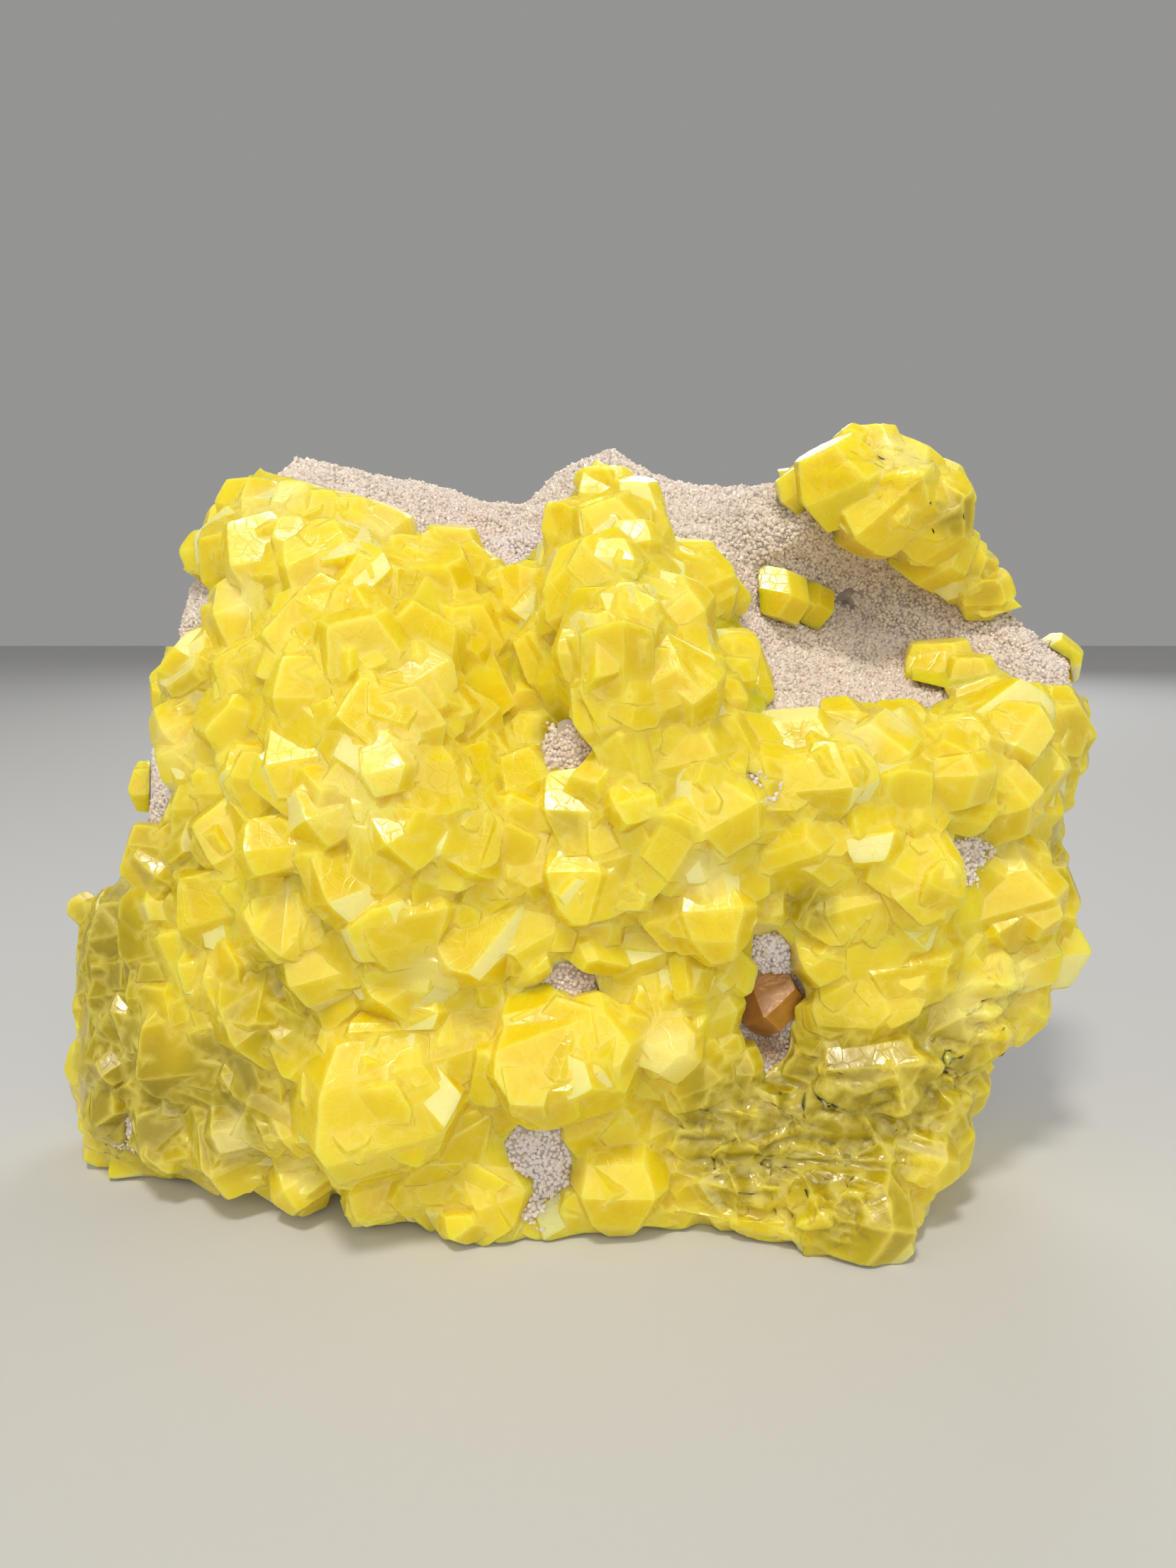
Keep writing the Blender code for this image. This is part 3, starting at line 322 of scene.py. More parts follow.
noise.seed_set(17)
rock = merged("matrix")
shows = rock.faces.layers.int.new("shows")
for face in rock.faces:
    corners = [v.co * 0.7 + face.calc_center_median() * 0.3 for v in face.verts]
    hidden = all(CRUSTS.ray_cast(c, face.normal, CRUST_GAP)[0] for c in corners)
    face[shows] = 0 if hidden else 1
for _ in range(2):
    for vert in rock.verts:
        if any(f[shows] == 1 for f in vert.link_faces):
            for face in vert.link_faces:
                face[shows] = max(face[shows], 2)
    for face in rock.faces:
        face[shows] = min(face[shows], 1)
refine(rock, ROCK_EDGE, shows)
rock.normal_update()
grip = rock.verts.layers.float.new("druse")
coat = rock.verts.layers.float.new("coat")
for vert in rock.verts:
    share = druse_share(vert.co, vert.normal)
    vert[coat] = share
    if not any(f[shows] for f in vert.link_faces):
        continue
    vert[grip] = share
    place = vert.co / MM
    lumps = noise.fractal(place * 0.55, 0.7, 2.0, 4) * LUMPS
    chips = noise.voronoi(place * 0.32 + noise.noise_vector(place * 0.4) * 0.5)[0]
    breaks = (chips[1] - chips[0] - 0.35) * CHIPS
    breaks += noise.fractal(place * 0.9, 0.8, 2.0, 4) * GRAIN
    out = share * (lumps * MM - DRUSE_SINK) + (1 - share) * (breaks - 0.3) * MM
    vert.co += vert.normal * (out + mound_height(vert.co))

marl = Finish("marl", Roughness=0.85)
grey = marl.mix(marl.clouds(0.09, 5, 0.6), (0.20, 0.175, 0.15), (0.42, 0.38, 0.34))
grey = marl.mix(marl.step(marl.clouds(0.05, 4, 0.7, 1.0), 0.52, 0.66), grey, (0.36, 0.27, 0.13))
grey = marl.mix(marl.step(marl.clouds(0.6, 4, 0.7), 0.58, 0.72, 0, 0.7), grey, (0.60, 0.57, 0.53))
stain = marl.step(marl.clouds(0.11, 3, 0.6, 0.6), 0.60, 0.68)
grey = marl.mix(stain * 0.75, grey, (0.56, 0.47, 0.06))
mauve = marl.mix(marl.clouds(1.1, 3), (0.50, 0.42, 0.37), (0.66, 0.57, 0.51))
marl.feed(Base_Color=marl.mix(marl.attribute("coat"), grey, mauve),
          Normal=marl.bump(marl.clouds(1.6, 5, 0.7), 0.35))
stand_on_floor(rock)
matrix = new_piece("matrix_rock", rock, marl.material)
matrix.data.shade_smooth()
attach(matrix, "root")
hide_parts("matrix")

# ---------------------------------------------------------------------------------------------
# The druse: a sugar of clear mauve-grey grains half a millimetre across, grown all over the
# front and top of the rock, side by side and each pointing its own way.
# ---------------------------------------------------------------------------------------------


# A grain of size one: its sides, the radius and height of its foot and shoulder, and its point.
GRAIN_SIDES = 5
GRAIN_RINGS = ((0.40, -0.3), (0.46, 0.25))
GRAIN_POINT = 0.62


def grain_shape():
    """One druse grain: a five-sided stub with a blunt point, open below where it grows."""
    body = bmesh.new()
    turns = [i * math.tau / GRAIN_SIDES for i in range(GRAIN_SIDES)]
    foot, shoulder = [[body.verts.new((radius * math.cos(a), radius * math.sin(a), height))
                       for a in turns] for radius, height in GRAIN_RINGS]
    point = body.verts.new((0, 0, GRAIN_POINT))
    for i in range(GRAIN_SIDES):
        j = (i + 1) % GRAIN_SIDES
        body.faces.new((foot[i], foot[j], shoulder[j], shoulder[i]))
    for i in range(GRAIN_SIDES):
        body.faces.new((shoulder[i], shoulder[(i + 1) % GRAIN_SIDES], point))
    return body


# How many points are tried on each square of the spacing, and half a turn either way.
TRIES = 1.6
HALF_TURN = 3.1416


def scatter_tree(name):
    """A node group that stands copies of a shape on a surface, apart and each turned its way."""
    tree = bpy.data.node_groups.new(name, "GeometryNodeTree")
    sockets = (("Surface", "NodeSocketGeometry"), ("Shapes", "NodeSocketCollection"),
               ("Spacing", "NodeSocketFloat"), ("Smallest", "NodeSocketFloat"),
               ("Largest", "NodeSocketFloat"), ("Sink", "NodeSocketFloat"),
               ("Tilt", "NodeSocketFloat"), ("Seed", "NodeSocketInt"),
               ("Finish", "NodeSocketMaterial"))
    for label, kind in sockets:
        tree.interface.new_socket(label, in_out="INPUT", socket_type=kind)
    tree.interface.new_socket("Grown", in_out="OUTPUT", socket_type="NodeSocketGeometry")
    graph = Graph(tree)
    entry = tree.nodes.new("NodeGroupInput")
    given = {label: Link(graph, entry.outputs[label]) for label, _ in sockets}
    spacing = given["Spacing"]
    spread = tree.nodes.new("GeometryNodeDistributePointsOnFaces")
    spread.distribute_method = "POISSON"
    density = graph.node("GeometryNodeInputNamedAttribute", {"data_type": "FLOAT"},
                         Name="growth", out="Attribute")
    tree.links.new(given["Surface"].socket, spread.inputs["Mesh"])
    tree.links.new(spacing.socket, spread.inputs["Distance Min"])
    tree.links.new((TRIES / (spacing * spacing)).socket, spread.inputs["Density Max"])
    tree.links.new(density.socket, spread.inputs["Density Factor"])
    tree.links.new(given["Seed"].socket, spread.inputs["Seed"])
    points = Link(graph, spread.outputs["Points"])
    turn = Link(graph, spread.outputs["Rotation"])

    def chance(kind, low, high, salt):
        made = tree.nodes.new("FunctionNodeRandomValue")
        made.data_type = kind
        usable = {s.name: s for s in made.inputs if s.enabled}
        for label, value in (("Min", low), ("Max", high)):
            if isinstance(value, Link):
                tree.links.new(value.socket, usable[label])
            else:
                usable[label].default_value = value
        tree.links.new((given["Seed"] + salt).socket, usable["Seed"])
        return Link(graph, next(s for s in made.outputs if s.enabled))

    lean = chance("FLOAT_VECTOR", (-1, -1, -HALF_TURN), (1, 1, HALF_TURN), 1)
    tilt = graph.node("ShaderNodeCombineXYZ", {}, given["Tilt"], given["Tilt"], 1.0)
    lean = graph.node("ShaderNodeVectorMath", {"operation": "MULTIPLY"}, lean, tilt)
    turned = graph.node("FunctionNodeRotateRotation", {"rotation_space": "LOCAL"}, turn,
                        graph.node("FunctionNodeEulerToRotation", {}, lean))
    size = chance("FLOAT", given["Smallest"], given["Largest"], 2)
    squash = chance("FLOAT_VECTOR", (0.8, 0.8, 0.75), (1.25, 1.25, 1.3), 3)
    scale = graph.node("ShaderNodeVectorMath", {"operation": "SCALE"}, squash, Scale=size)
    stood = tree.nodes.new("GeometryNodeInstanceOnPoints")
    shapes = graph.node("GeometryNodeCollectionInfo", {}, given["Shapes"], True, True)
    for label, link in (("Points", points), ("Instance", shapes), ("Rotation", turned),
                        ("Scale", scale)):
        tree.links.new(link.socket, stood.inputs[label])
    stood.inputs["Pick Instance"].default_value = True
    sunk = tree.nodes.new("GeometryNodeTranslateInstances")
    tree.links.new(stood.outputs[0], sunk.inputs["Instances"])
    depth = graph.node("ShaderNodeCombineXYZ", {}, 0.0, 0.0, given["Sink"] * size * -1.0)
    tree.links.new(depth.socket, sunk.inputs["Translation"])
    tint = tree.nodes.new("GeometryNodeStoreNamedAttribute")
    tint.domain = "INSTANCE"
    tint.inputs["Name"].default_value = "own_tint"
    tree.links.new(sunk.outputs[0], tint.inputs["Geometry"])
    tree.links.new(chance("FLOAT", 0.0, 1.0, 4).socket,
                   next(s for s in tint.inputs if s.name == "Value" and s.enabled))
    real = graph.node("GeometryNodeRealizeInstances", {}, Link(graph, tint.outputs[0]))
    dressed = tree.nodes.new("GeometryNodeSetMaterial")
    tree.links.new(real.socket, dressed.inputs["Geometry"])
    tree.links.new(given["Finish"].socket, dressed.inputs["Material"])
    leave = tree.nodes.new("NodeGroupOutput")
    tree.links.new(dressed.outputs[0], leave.inputs["Grown"])
    return tree


SCATTER = scatter_tree("grow_on_surface")


def shapes_in(name, bodies):
    """A collection of shapes to scatter, one object for each bmesh."""
    group = bpy.data.collections.new(name)
    for body in bodies:
        shape = new_piece(name, body)
        bpy.context.scene.collection.objects.unlink(shape)
        group.objects.link(shape)
    return group


def clear_away(group):
    """Removes a collection of shapes once nothing needs it."""
    for shape in list(group.objects):
        bpy.data.objects.remove(shape)
    bpy.data.collections.remove(group)


def scattered(name, ground, shapes, finish, **amounts):
    """A plain mesh piece of many copies of some shapes, grown on the ground object."""
    made = ground.modifiers.new("grow", "NODES")
    made.node_group = SCATTER
    wanted = {"Shapes": shapes, "Finish": finish, **amounts}
    for item in SCATTER.interface.items_tree:
        if item.in_out == "INPUT" and item.name in wanted:
            made[item.identifier] = wanted[item.name]
    ground.update_tag()
    bpy.context.view_layer.update()
    shown = ground.evaluated_get(bpy.context.evaluated_depsgraph_get())
    mesh = bpy.data.meshes.new_from_object(shown)
    mesh.name = name
    piece = bpy.data.objects.new(name, mesh)
    bpy.context.scene.collection.objects.link(piece)
    bpy.data.objects.remove(ground)
    return piece


def patch_of(source, keep):
    """A surface made of the faces of an object that keep() says yes to."""
    body = bmesh.new()
    body.from_mesh(source.data)
    bmesh.ops.delete(body, geom=[f for f in body.faces if not keep(f)], context="FACES")
    growth = body.verts.layers.float.new("growth")
    for vert in body.verts:
        vert[growth] = 1.0
    return new_piece("patch", body)


sugar = Finish("druse_sugar", Roughness=0.35, IOR=1.5)
own = sugar.attribute("own_tint")
pink = sugar.clouds(0.06, 3, 0.6)
tint = sugar.mix(own, (0.70, 0.60, 0.51), (0.90, 0.81, 0.70))
tint = sugar.mix(sugar.step(pink, 0.35, 0.7), tint, (0.78, 0.66, 0.58))
sooty = sugar.step(own, 0.90, 0.93) * sugar.step(sugar.clouds(0.10, 3), 0.48, 0.60)
tint = sugar.mix(sooty * 0.45, tint, (0.26, 0.20, 0.18))
tint = sugar.mix(sugar.step(sugar.clouds(0.35, 4, 0.7), 0.60, 0.72, 0, 0.35), tint,
                 (0.30, 0.22, 0.17))
tint = sugar.mix(sugar.attribute("white"), tint, (0.86, 0.80, 0.84))
tint = sugar.mix(sugar.attribute("rusty") * 0.8, tint, (0.36, 0.20, 0.06))
sugar.feed(Base_Color=tint)


def points_of(mesh):
    """A mesh's points, as rows of numbers."""
    points = np.zeros(len(mesh.vertices) * 3)
    mesh.vertices.foreach_get("co", points)
    return points.reshape(-1, 3)


def region_values(points, tree, regions):
    """How far each point lies in a list of rounded regions, from 0 to 1."""
    total = np.zeros(len(points))
    for across, up, radius, strength in regions:
        centre = np.array(on_front(tree, across, up))
        near = 1 - np.linalg.norm(points - centre, axis=1) / (radius * MM)
        near = np.clip(near * 1.6, 0, 1)
        total = np.maximum(total, strength * near * near * (3 - 2 * near))
    return total


def store(mesh, name, values):
    """Keeps one number for each point of a mesh under a name."""
    layer = mesh.attributes.new(name, "FLOAT", "POINT")
    layer.data.foreach_set("value", np.asarray(values, float))


# Where the grains are lilac-white or rust-stained: (across, up, radius, strength).
WHITE = [(-5.5, -46, 8, 0.6), (23.5, -20.5, 5, 1), (27, -29.5, 4, 1), (21.2, -37, 3, 1),
         (-4.6, -55, 5, 0.5), (-57.6, -43, 4, 0.7), (-9, 29, 6, 0.5)]
RUSTY = [(-2.6, -48.6, 2.2, 1), (-1.6, -51, 2.0, 1), (-7, -53.5, 1.6, 0.7), (22, -33.6, 3.4, 0.9),
         (-6.4, -44, 1.3, 0.5)]

one_grain = shapes_in("grain", [grain_shape()])
DRUSE_PIECES = {
    "druse_left": lambda c: c.x < -28 * MM,
    "druse_middle": lambda c: -28 * MM <= c.x < 14 * MM,
    "druse_basin": lambda c: 14 * MM <= c.x < 40 * MM,
    "druse_right": lambda c: c.x >= 40 * MM,
}
shares = [v.value for v in matrix.data.attributes["druse"].data]
for number, (name, side) in enumerate(DRUSE_PIECES.items()):

    def keep(face):
        share = sum(shares[v.index] for v in face.verts) / len(face.verts)
        return share > 0.5 and side(face.calc_center_median())

    grains = scattered(name, patch_of(matrix, keep), one_grain, sugar.material,
                       Spacing=0.36 * MM, Smallest=0.5 * MM, Largest=0.85 * MM, Sink=0.0,
                       Tilt=0.6, Seed=11 + number)
    points = points_of(grains.data)
    store(grains.data, "white", region_values(points, ROCK, WHITE))
    store(grains.data, "rusty", region_values(points, ROCK, RUSTY))
    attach(grains, "root")
clear_away(one_grain)

# ---------------------------------------------------------------------------------------------
# The sulfur crusts: rhombic crystals grown together into one skin, with broad flat facets,
# glassy lustre and a cloudy body. The main crust covers the front, the crest its top corner.
# ---------------------------------------------------------------------------------------------
ALL_SULFUR = tree_of("sulfur_main_cluster", "sulfur_crest", "sulfur_lone_crystal",
                     "sulfur_right_edge_crystal", "sulfur_left_knob")
FACET_ANGLE = math.radians(12)


def mark_facets(body, chance):
    """Groups faces that lie nearly in one plane, and gives each group a normal and a shade."""
    body.normal_update()
    group = body.faces.layers.int.new("facet")
    shade = body.faces.layers.float.new("facet_shade")
    normals = []
    for face in body.faces:
        face[group] = -1
    for seed in sorted(body.faces, key=lambda f: -f.calc_area()):
        if seed[group] >= 0:
            continue
        seed[group] = len(normals)
        value = chance.random()
        seed[shade] = value
        total = seed.normal * seed.calc_area()
        waiting = [seed]
        while waiting:
            face = waiting.pop()
            for edge in face.edges:
                for other in edge.link_faces:
                    if other[group] < 0 and other.normal.angle(seed.normal, 3) < FACET_ANGLE:
                        other[group] = seed[group]
                        other[shade] = value
                        total += other.normal * other.calc_area()
                        waiting.append(other)
        normals.append(total.normalized())
    return group, normals


# How much of a facet's own normal its corners keep, and the shortest sum of normals to trust.
CRISP = 0.8
SHORTEST_SUM = 0.05


def set_facet_normals(mesh, groups, normals, massive):
    """Shades each facet flat, turned a little at its edges, and massive ground as it lies."""
    own = np.array(normals)[np.array(groups)]
    count = len(mesh.loops)
    corner_vert = np.zeros(count, int)
    mesh.loops.foreach_get("vertex_index", corner_vert)
    sizes = np.zeros(len(mesh.polygons), int)
    mesh.polygons.foreach_get("loop_total", sizes)
    areas = np.zeros(len(mesh.polygons))
    mesh.polygons.foreach_get("area", areas)
    corner_face = np.repeat(np.arange(len(mesh.polygons)), sizes)
    around = np.zeros((len(mesh.vertices), 3))
    np.add.at(around, corner_vert, own[corner_face] * areas[corner_face][:, None])
    around /= np.maximum(np.linalg.norm(around, axis=1), 1e-12)[:, None]
    mixed = own[corner_face] * CRISP + around[corner_vert] * (1 - CRISP)
    mixed /= np.maximum(np.linalg.norm(mixed, axis=1), 1e-9)[:, None]
    lie = np.zeros(len(mesh.vertices) * 3)
    mesh.vertices.foreach_get("normal", lie)
    lie = np.nan_to_num(lie.reshape(-1, 3))[corner_vert]
    share = massive[corner_vert][:, None]
    mixed = mixed * (1 - share) + lie * share
    for instead in (lie, (0.0, -1.0, 0.0)):
        lengths = np.linalg.norm(mixed, axis=1)
        mixed = np.where((lengths > SHORTEST_SUM)[:, None], mixed, instead)
    mixed /= np.linalg.norm(mixed, axis=1)[:, None]
    mesh.shade_smooth()
    mesh.normals_split_custom_set(mixed.tolist())


# Where the sulfur is painted darker olive: painted shade, mostly on the lower parts that face
# down, away from the light: (across, up, radius, strength), as in the two lists after it.
OLIVE_PAINTED_SHADE = [(-62, -22, 15, 1), (-58, -38, 16, 1), (-45, -40, 12, 0.9), (-40, -28, 9, 0.6),
         (-52, -8, 9, 0.5), (30, -42, 15, 1), (20, -44, 12, 1), (44, -38, 12, 0.8),
         (36, -54, 10, 0.7), (-4, 7, 4, 1), (-3, -5, 3, 0.5), (28, -16, 4, 0.8),
         (60, -10, 8, 0.6), (62, 6, 5, 0.5), (-50, 12, 5, 0.4), (24, -20, 6, 0.7),
         (47, 34, 4, 0.7), (50, 25, 4, 0.6)]
# Where the sulfur is massive, without crystal faces.
MASSIVE = [(17, -45, 8, 0.9), (27, -44, 11, 1), (38, -42, 9, 1), (30, -52, 10, 1),
           (44, -38, 8, 1), (52, -28, 7, 1), (46, -26, 4, 0.8), (40, 41, 7, 0.6),
           (45, 35, 5, 0.5), (31, 41, 4, 0.5), (-52, -50, 6, 0.9), (-61, -45, 5, 0.9),
           (20, -53, 6, 0.9)]
# Where the sulfur is cream-coloured.
CREAM = [(-40, 36, 6, 0.7), (-44, 24, 4, 0.8), (-26, 33, 3.5, 0.6), (10, -34, 4.5, 1.0),
         (14.5, -11, 4, 0.9), (34, 6.5, 4, 0.8), (39.5, 8, 3, 0.9), (54, -8.5, 3, 0.7),
         (-44.5, -45, 4, 0.9), (-36, -49, 3.5, 0.8), (-52, 5, 4, 0.6), (-20, -24, 4, 0.7),
         (-24, 4, 4, 0.4), (-30, -2, 6, 0.5), (-20, 14, 5, 0.3), (40, 42, 5, 0.9),
         (10, 24, 3, 0.4), (54, -26, 6, 0.6), (48, -28, 5, 0.6), (56, 5, 6, 0.3)]


def shift(link, amount, by):
    """A pattern's coordinates, pushed about by a colour or vector."""
    graph = link.graph
    pushed = graph.node("ShaderNodeVectorMath", {"operation": "SCALE"}, by, Scale=amount)
    return graph.node("ShaderNodeVectorMath", {"operation": "ADD"}, link, pushed)


sulfur = Finish("sulfur", Roughness=0.28, IOR=1.6, Specular_IOR_Level=0.34,
                Subsurface_Weight=1.0, Subsurface_Scale=3.5 * MM,
                Subsurface_Radius=(1.0, 0.92, 0.15))
shade = sulfur.attribute("facet_shade")
edge = sulfur.attribute("edge")
olive = sulfur.attribute("olive")
cream = sulfur.attribute("cream")
wander = sulfur.node("ShaderNodeTexNoise", {}, out="Color", Vector=sulfur.place, Scale=0.11,
                     Detail=2.0)
swirled = shift(sulfur.place, 5.0, wander)
cloud = sulfur.clouds(0.16, 4, 0.6, place=swirled)
body_colour = sulfur.mix(sulfur.step(cloud, 0.32, 0.68), (0.80, 0.595, 0.004), (0.87, 0.69, 0.012))
body_colour = sulfur.mix(sulfur.step(shade, 0.45, 1.0, 0, 0.6), body_colour, (0.90, 0.755, 0.05))
body_colour = sulfur.mix(sulfur.step(shade, 0.0, 0.4, 0.6, 0), body_colour, (0.74, 0.56, 0.004))
# Painted highlight: facets whose shade number falls in a narrow band are painted near-white, as
# glints.
body_colour = sulfur.mix(sulfur.step(shade, 0.950, 0.955, 0, 0.55), body_colour,
                         (0.97, 0.92, 0.55))
veil = sulfur.step(sulfur.clouds(0.42, 5, 0.65, 0.4, swirled), 0.54, 0.72, 0, 0.45)
body_colour = sulfur.mix(veil, body_colour, (0.93, 0.77, 0.12))
ghost = sulfur.step(sulfur.cells(0.22, "DISTANCE_TO_EDGE", place=swirled), 0.0, 0.025, 0.22, 0)
body_colour = sulfur.mix(ghost * (1 - olive), body_colour, (0.94, 0.80, 0.14))
# Painted shade: the olive regions are darkened to olive, for the lower parts that face down.
body_colour = sulfur.mix(olive * 0.9, body_colour, (0.36, 0.275, 0.004))
# Painted highlight: corners along sharp facet edges are painted paler, as light glowing through
# thin edges.
body_colour = sulfur.mix(edge * 0.4, body_colour, (0.95, 0.83, 0.20))
body_colour = sulfur.mix(cream * 0.6, body_colour, (0.93, 0.84, 0.36))
rough = sulfur.step(sulfur.clouds(0.3, 3, 0.6), 0.35, 0.7, 0.16, 0.42)
steps = sulfur.cells(0.55, "DISTANCE_TO_EDGE", place=swirled)
dusty = sulfur.attribute("massive")
scale_spots = sulfur.clouds(0.45, 5, 0.7, 0.6)
body_colour = sulfur.mix(dusty * sulfur.step(scale_spots, 0.53, 0.70, 0, 0.35), body_colour,
                         (0.74, 0.66, 0.34))
body_colour = sulfur.mix(dusty * sulfur.step(scale_spots, 0.34, 0.48, 0.5, 0), body_colour,
                         (0.26, 0.17, 0.01))
ripple = sulfur.clouds(0.9, 4, 0.6, 0.5)
surface = sulfur.bump(ripple, 0.07, 0.5)
surface = sulfur.bump(sulfur.step(steps, 0.0, 0.06), 0.03, 0.4, surface)
sulfur.feed(Base_Color=body_colour, Roughness=rough, Normal=surface)

# The lengths of the mineral's three axes beside the second, and its habits: the forms on a
# crystal, each with how far out its faces stand.
SULFUR_AXES = (0.813, 1.0, 1.903)
HABITS = [
    {(1, 1, 1): 1.0, (0, 0, 1): 0.85},
    {(1, 1, 1): 1.0, (0, 1, 1): 1.04, (0, 0, 1): 0.9},
    {(1, 1, 1): 1.0, (0, 0, 1): 1.05},
    {(1, 1, 1): 1.0, (0, 1, 1): 1.0, (0, 0, 1): 1.0},
]


def sulfur_shape(habit, chance, depth):
    """A crystal one unit wide whose broad facet looks up and lies at height nought."""
    normals, distances = [], []
    for form, factor in habit.items():
        for sign in itertools.product(*[(1, -1) if index else (0,) for index in form]):
            normal = Vector(i * s / a for i, s, a in zip(form, sign, SULFUR_AXES))
            normals.append(normal.normalized())
            distances.append(factor * (1 + chance.uniform(-0.08, 0.08)))
    broad = normals[0]
    long_axis = (Vector((0, 0, 1)) - broad * broad.z).normalized()
    to_local = Matrix((long_axis.cross(broad), long_axis, broad))
    local = [to_local @ n for n in normals]
    half = Vector((0.5, 0.5, 0.5 * depth))
    reach = [Vector(a * b for a, b in zip(n, half)).length * d for n, d in zip(local, distances)]
    planes, reach = np.array(local), np.array(reach)
    trios = np.array(list(itertools.combinations(range(len(planes)), 3)))
    meets = np.abs(np.linalg.det(planes[trios])) > 1e-5
    solved = np.linalg.solve(planes[trios[meets]], reach[trios[meets]][..., None])[..., 0]
    corners = solved[(solved @ planes.T <= reach + 1e-6).all(axis=1)]
    body = bmesh.new()
    for corner in corners:
        body.verts.new(corner)
    bmesh.ops.remove_doubles(body, verts=body.verts, dist=0.01)
    hull = bmesh.ops.convex_hull(body, input=body.verts)
    bmesh.ops.delete(body, geom=hull["geom_interior"], context="VERTS")
    bmesh.ops.dissolve_limit(body, angle_limit=0.02, verts=body.verts, edges=body.edges)
    bmesh.ops.recalc_face_normals(body, faces=body.faces)
    bmesh.ops.translate(body, verts=body.verts, vec=(0, 0, -0.5 * depth))
    return body


def even_out(mesh, rounds):
    """Smooths a mesh's points towards their neighbours, and says how far each stood out."""
    points = points_of(mesh)
    before = points.copy()
    ends = np.zeros(len(mesh.edges) * 2, int)
    mesh.edges.foreach_get("vertices", ends)
    ends = ends.reshape(-1, 2)
    degree = np.bincount(ends.ravel(), minlength=len(points))[:, None]
    for _ in range(rounds):
        total = np.zeros_like(points)
        np.add.at(total, ends[:, 0], points[ends[:, 1]])
        np.add.at(total, ends[:, 1], points[ends[:, 0]])
        points = points * 0.4 + total / degree * 0.6
    mesh.vertices.foreach_set("co", points.ravel())
    mesh.update()
    normals = np.zeros(len(points) * 3)
    mesh.vertices.foreach_get("normal", normals)
    return ((before - points) * normals.reshape(-1, 3)).sum(axis=1)


ROCK_GAP = 1.2 * MM


def mark_shown(body):
    """Marks the faces of a crust that don't lie against the rock."""
    shown = body.faces.layers.int.new("shown")
    for face in body.faces:
        back = ROCK.ray_cast(face.calc_center_median(), face.normal, ROCK_GAP)[0]
        face[shown] = 0 if back else 1
    return shown


# Small crystals grow on the low ground, which is told from a mesh of edges this long, smoothed
# so many times, and grow sparser where it stands out further than this.
GROUND_EDGE = 1.5 * MM
GROUND_ROUNDS = 14
HIGH_GROUND = 0.5 * MM


def small_crystals(node, shapes, seed, **amounts):
    """Crystals on the low ground of a CAD crust, as one object."""
    body = merged(node)
    body.normal_update()
    shown = mark_shown(body)
    refine(body, GROUND_EDGE, shown)
    hidden = [v.index for v in body.verts if not all(f[shown] for f in v.link_faces)]
    ground = new_piece("ground", body)
    stands = even_out(ground.data, GROUND_ROUNDS)
    growth = np.clip(1.15 - stands / HIGH_GROUND, 0.06, 1)
    growth[hidden] = 0
    store(ground.data, "growth", growth)
    return scattered("small", ground, shapes, sulfur.material, Seed=seed, **amounts)


# How close corners are joined after the union, in millimetres.
CLEAN_WITHIN = 0.0005


def united(node, other):
    """A bmesh of a CAD node grown together with another object, which is used up."""
    base = new_piece("base", merged(node))
    pair = (base, other)
    for thing in pair:
        thing.data.transform(Matrix.Scale(1 / MM, 4))
    joining = base.modifiers.new("join", "BOOLEAN")
    joining.operation = "UNION"
    joining.solver = "EXACT"
    joining.use_self = True
    joining.object = other
    bpy.context.view_layer.update()
    shown = base.evaluated_get(bpy.context.evaluated_depsgraph_get())
    body = bmesh.new()
    body.from_mesh(shown.to_mesh())
    for thing in pair:
        bpy.data.objects.remove(thing)
    bmesh.ops.remove_doubles(body, verts=body.verts, dist=CLEAN_WITHIN)
    bmesh.ops.dissolve_degenerate(body, edges=body.edges, dist=CLEAN_WITHIN)
    bmesh.ops.transform(body, matrix=Matrix.Scale(MM, 4), verts=body.verts)
    bmesh.ops.triangulate(body, faces=[f for f in body.faces if len(f.verts) > 3])
    body.verts.index_update()
    drop_flaps(body)
    return body


def ledge_height(place):
    """The rough, thinly layered surface of massive sulfur, in millimetres from its mean."""
    bent = Vector((place.x * 0.11 - place.z * 0.05, place.y * 0.12, place.z * 0.36))
    layers = abs(noise.fractal(bent, 1.0, 2.0, 2)) * 2.2 - 0.7
    return layers + noise.fractal(place * 0.42, 1.0, 2.0, 3) * 0.22


# The angle, in radians, past which an edge is fully sharp, how far each round eases it, and the
# edge length of the massive ground.
SHARP = 0.8
EASE = 0.25
MASSIVE_EDGE = 0.75 * MM


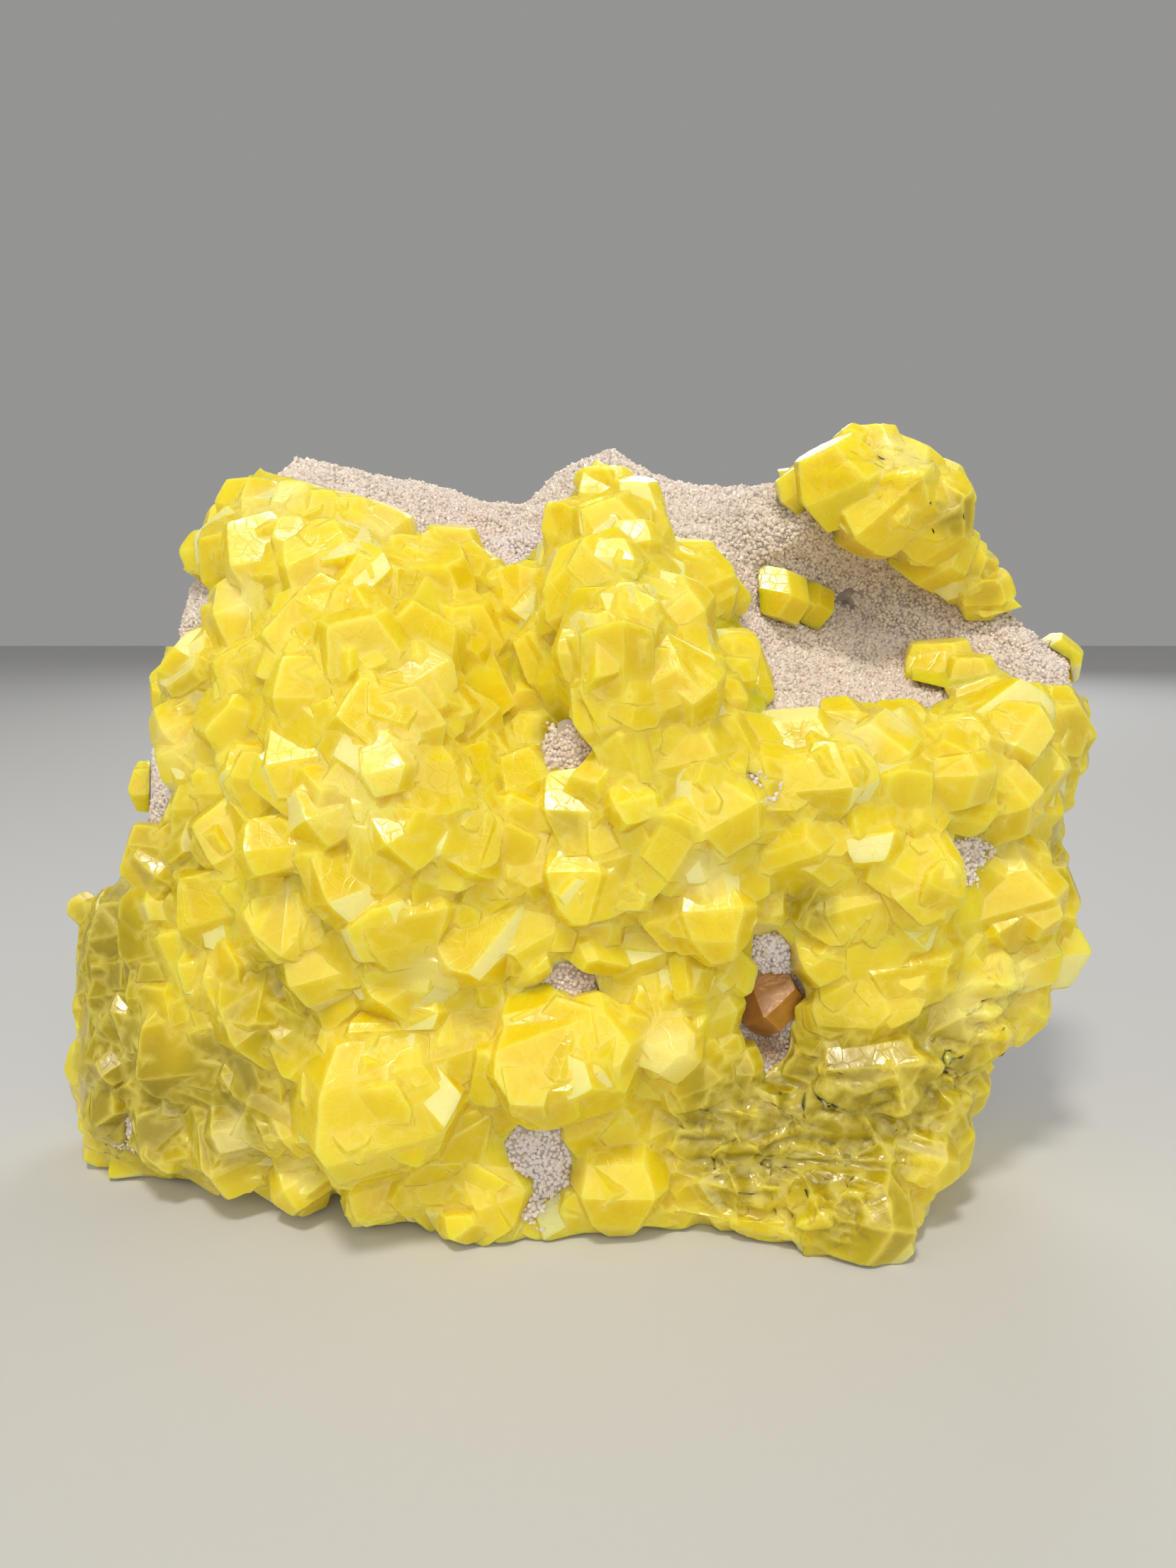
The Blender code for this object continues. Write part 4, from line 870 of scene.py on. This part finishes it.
def crust(name, node, longest, chance, extra=None):
    """A CAD crust with its facets evened out, its edges eased, and its shown side refined."""
    body = united(node, extra) if extra else merged(node)
    edge = body.verts.layers.float.new("edge")
    body.normal_update()
    shown = mark_shown(body)
    group, normals = mark_facets(body, chance)
    refine(body, longest, shown)
    # The edge layer says how sharp each facet edge is; the sulfur finish uses it to paint those
    # edges paler, as a painted highlight.
    edge_verts = [v for v in body.verts if len({f[group] for f in v.link_faces}) > 1
                  and all(f[shown] for f in v.link_faces)]
    for vert in edge_verts:
        widest = max(f.normal.angle(g.normal, 0) for f in vert.link_faces
                     for g in vert.link_faces)
        vert[edge] = min(1.0, widest / SHARP)
    for _ in range(2):
        bmesh.ops.smooth_vert(body, verts=edge_verts, factor=EASE, use_axis_x=True,
                              use_axis_y=True, use_axis_z=True)
    fine = body.faces.layers.int.new("fine")
    centres = np.array([f.calc_center_median() for f in body.faces])
    for face, value in zip(body.faces, region_values(centres, ALL_SULFUR, MASSIVE)):
        face[fine] = 1 if value > 0.1 and face[shown] else 0
    refine(body, MASSIVE_EDGE, fine)
    body.normal_update()
    massive = region_values(np.array([v.co for v in body.verts]), ALL_SULFUR, MASSIVE)
    moves = []
    for vert, value in zip(body.verts, massive):
        showing = all(f[shown] for f in vert.link_faces)
        moves.append(vert.normal * ledge_height(vert.co / MM) * value * MM if value and showing
                     else Vector())
    for vert, move in zip(body.verts, moves):
        vert.co += move
    groups = [f[group] for f in body.faces]
    stand_on_floor(body)
    piece = new_piece(name, body, sulfur.material)
    set_facet_normals(piece.data, groups, normals, massive)
    points = points_of(piece.data)
    store(piece.data, "massive", massive)
    store(piece.data, "olive", region_values(points, ALL_SULFUR, OLIVE_PAINTED_SHADE))
    store(piece.data, "cream", region_values(points, ALL_SULFUR, CREAM))
    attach(piece, "root")
    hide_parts(node)


SHAPES_PER_HABIT = 2
SHAPE_DEPTH = 0.62
chance = random.Random(5)
shapes = shapes_in("crystal_shape", [sulfur_shape(habit, chance, SHAPE_DEPTH)
                                     for habit in HABITS for _ in range(SHAPES_PER_HABIT)])
between = small_crystals("sulfur_main_cluster", shapes, 31, Spacing=2.7 * MM,
                         Smallest=3.2 * MM, Largest=7.6 * MM, Sink=-0.08, Tilt=0.26)
crust("sulfur_crust", "sulfur_main_cluster", 1.3 * MM, chance, between)
between = small_crystals("sulfur_crest", shapes, 32, Spacing=2.6 * MM,
                         Smallest=2.4 * MM, Largest=5.0 * MM, Sink=-0.04, Tilt=0.2)
crust("crest_crust", "sulfur_crest", 1.1 * MM, chance, between)
clear_away(shapes)
for name, node in (("lone_sulfur", "sulfur_lone_crystal"), ("left_knob", "sulfur_left_knob"),
                   ("right_edge_sulfur", "sulfur_right_edge_crystal")):
    crust(name, node, 0.7 * MM, chance)

# ---------------------------------------------------------------------------------------------
# The calcite: one small brown crystal, taken for calcite, glassy and stained. It sits in the
# pocket under the middle, grown on the rock.
# ---------------------------------------------------------------------------------------------
brown = Finish("brown_calcite", Roughness=0.22, IOR=1.6, Subsurface_Weight=0.8,
               Subsurface_Scale=1.5 * MM, Subsurface_Radius=(1.0, 0.5, 0.2))
brown.feed(Base_Color=brown.mix(brown.clouds(0.5, 4, 0.6), (0.34, 0.13, 0.015),
                                (0.66, 0.34, 0.07)),
           Normal=brown.bump(brown.clouds(1.2, 4), 0.15))
calcite = new_piece("calcite", merged("calcite_crystal"), brown.material)
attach(calcite, "root")
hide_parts("calcite_crystal")

# ---------------------------------------------------------------------------------------------
# The stand and the light: a plain pale floor, a small key lamp above and a little in front, four
# broad soft lamps round about, a dim even sky, and a camera held close in front of the rock.
# ---------------------------------------------------------------------------------------------
FLOOR_HALF = 1.5
floor_body = bmesh.new()
for x, y in ((-1, -1), (1, -1), (1, 1), (-1, 1)):
    floor_body.verts.new((x * FLOOR_HALF, y * FLOOR_HALF, 0))
floor_body.faces.new(floor_body.verts[:])
pale = Finish("pale_floor", Roughness=0.9, Base_Color=(0.62, 0.62, 0.61, 1))
floor = new_piece("floor", floor_body, pale.material)

world = bpy.data.worlds.new("soft_sky")
bpy.context.scene.world = world
world.use_nodes = True
world.node_tree.nodes["Background"].inputs["Color"].default_value = (1, 0.99, 0.97, 1)
world.node_tree.nodes["Background"].inputs["Strength"].default_value = 0.30


LIT_POINT = Vector((0, 0, 0.045))


def lamp(name, direction, distance, size, power, colour=(1, 1, 1)):
    """A round lamp so far from the middle of the specimen, turned to face it."""
    light = bpy.data.lights.new(name, "AREA")
    light.shape = "DISK"
    light.size = size
    light.energy = power
    light.color = colour
    made = bpy.data.objects.new(name, light)
    bpy.context.scene.collection.objects.link(made)
    made.location = LIT_POINT + Vector(direction).normalized() * distance
    made.rotation_euler = Vector(direction).to_track_quat("Z", "Y").to_euler()


lamp("key", (-0.12, -0.46, 0.88), 0.6, 0.10, 1.7, (1.0, 0.95, 0.87))
lamp("front", (0.1, -0.95, 0.45), 0.8, 0.7, 2.2)
lamp("left", (-0.9, -0.5, 0.5), 0.9, 0.5, 0.7)
lamp("right", (0.9, -0.3, 0.5), 0.9, 0.5, 0.6)
lamp("back", (0.2, 0.9, 0.5), 0.9, 0.5, 2.2)

# The camera's sensor in millimetres, and its focal length and frame height in pixels.
SENSOR, FOCAL, FRAME_HEIGHT = 36, 1560, 2212
view = bpy.data.cameras.new("view")
view.sensor_fit = "VERTICAL"
view.sensor_height = SENSOR
view.lens = SENSOR * FOCAL / FRAME_HEIGHT
view.clip_start = 0.005
camera = bpy.data.objects.new("camera", view)
bpy.context.scene.collection.objects.link(camera)
camera.location = EYE
camera.rotation_euler = (math.pi / 2 - LOOK_DOWN, 0, 0)
bpy.context.scene.camera = camera
bpy.context.scene.view_settings.view_transform = "Standard"
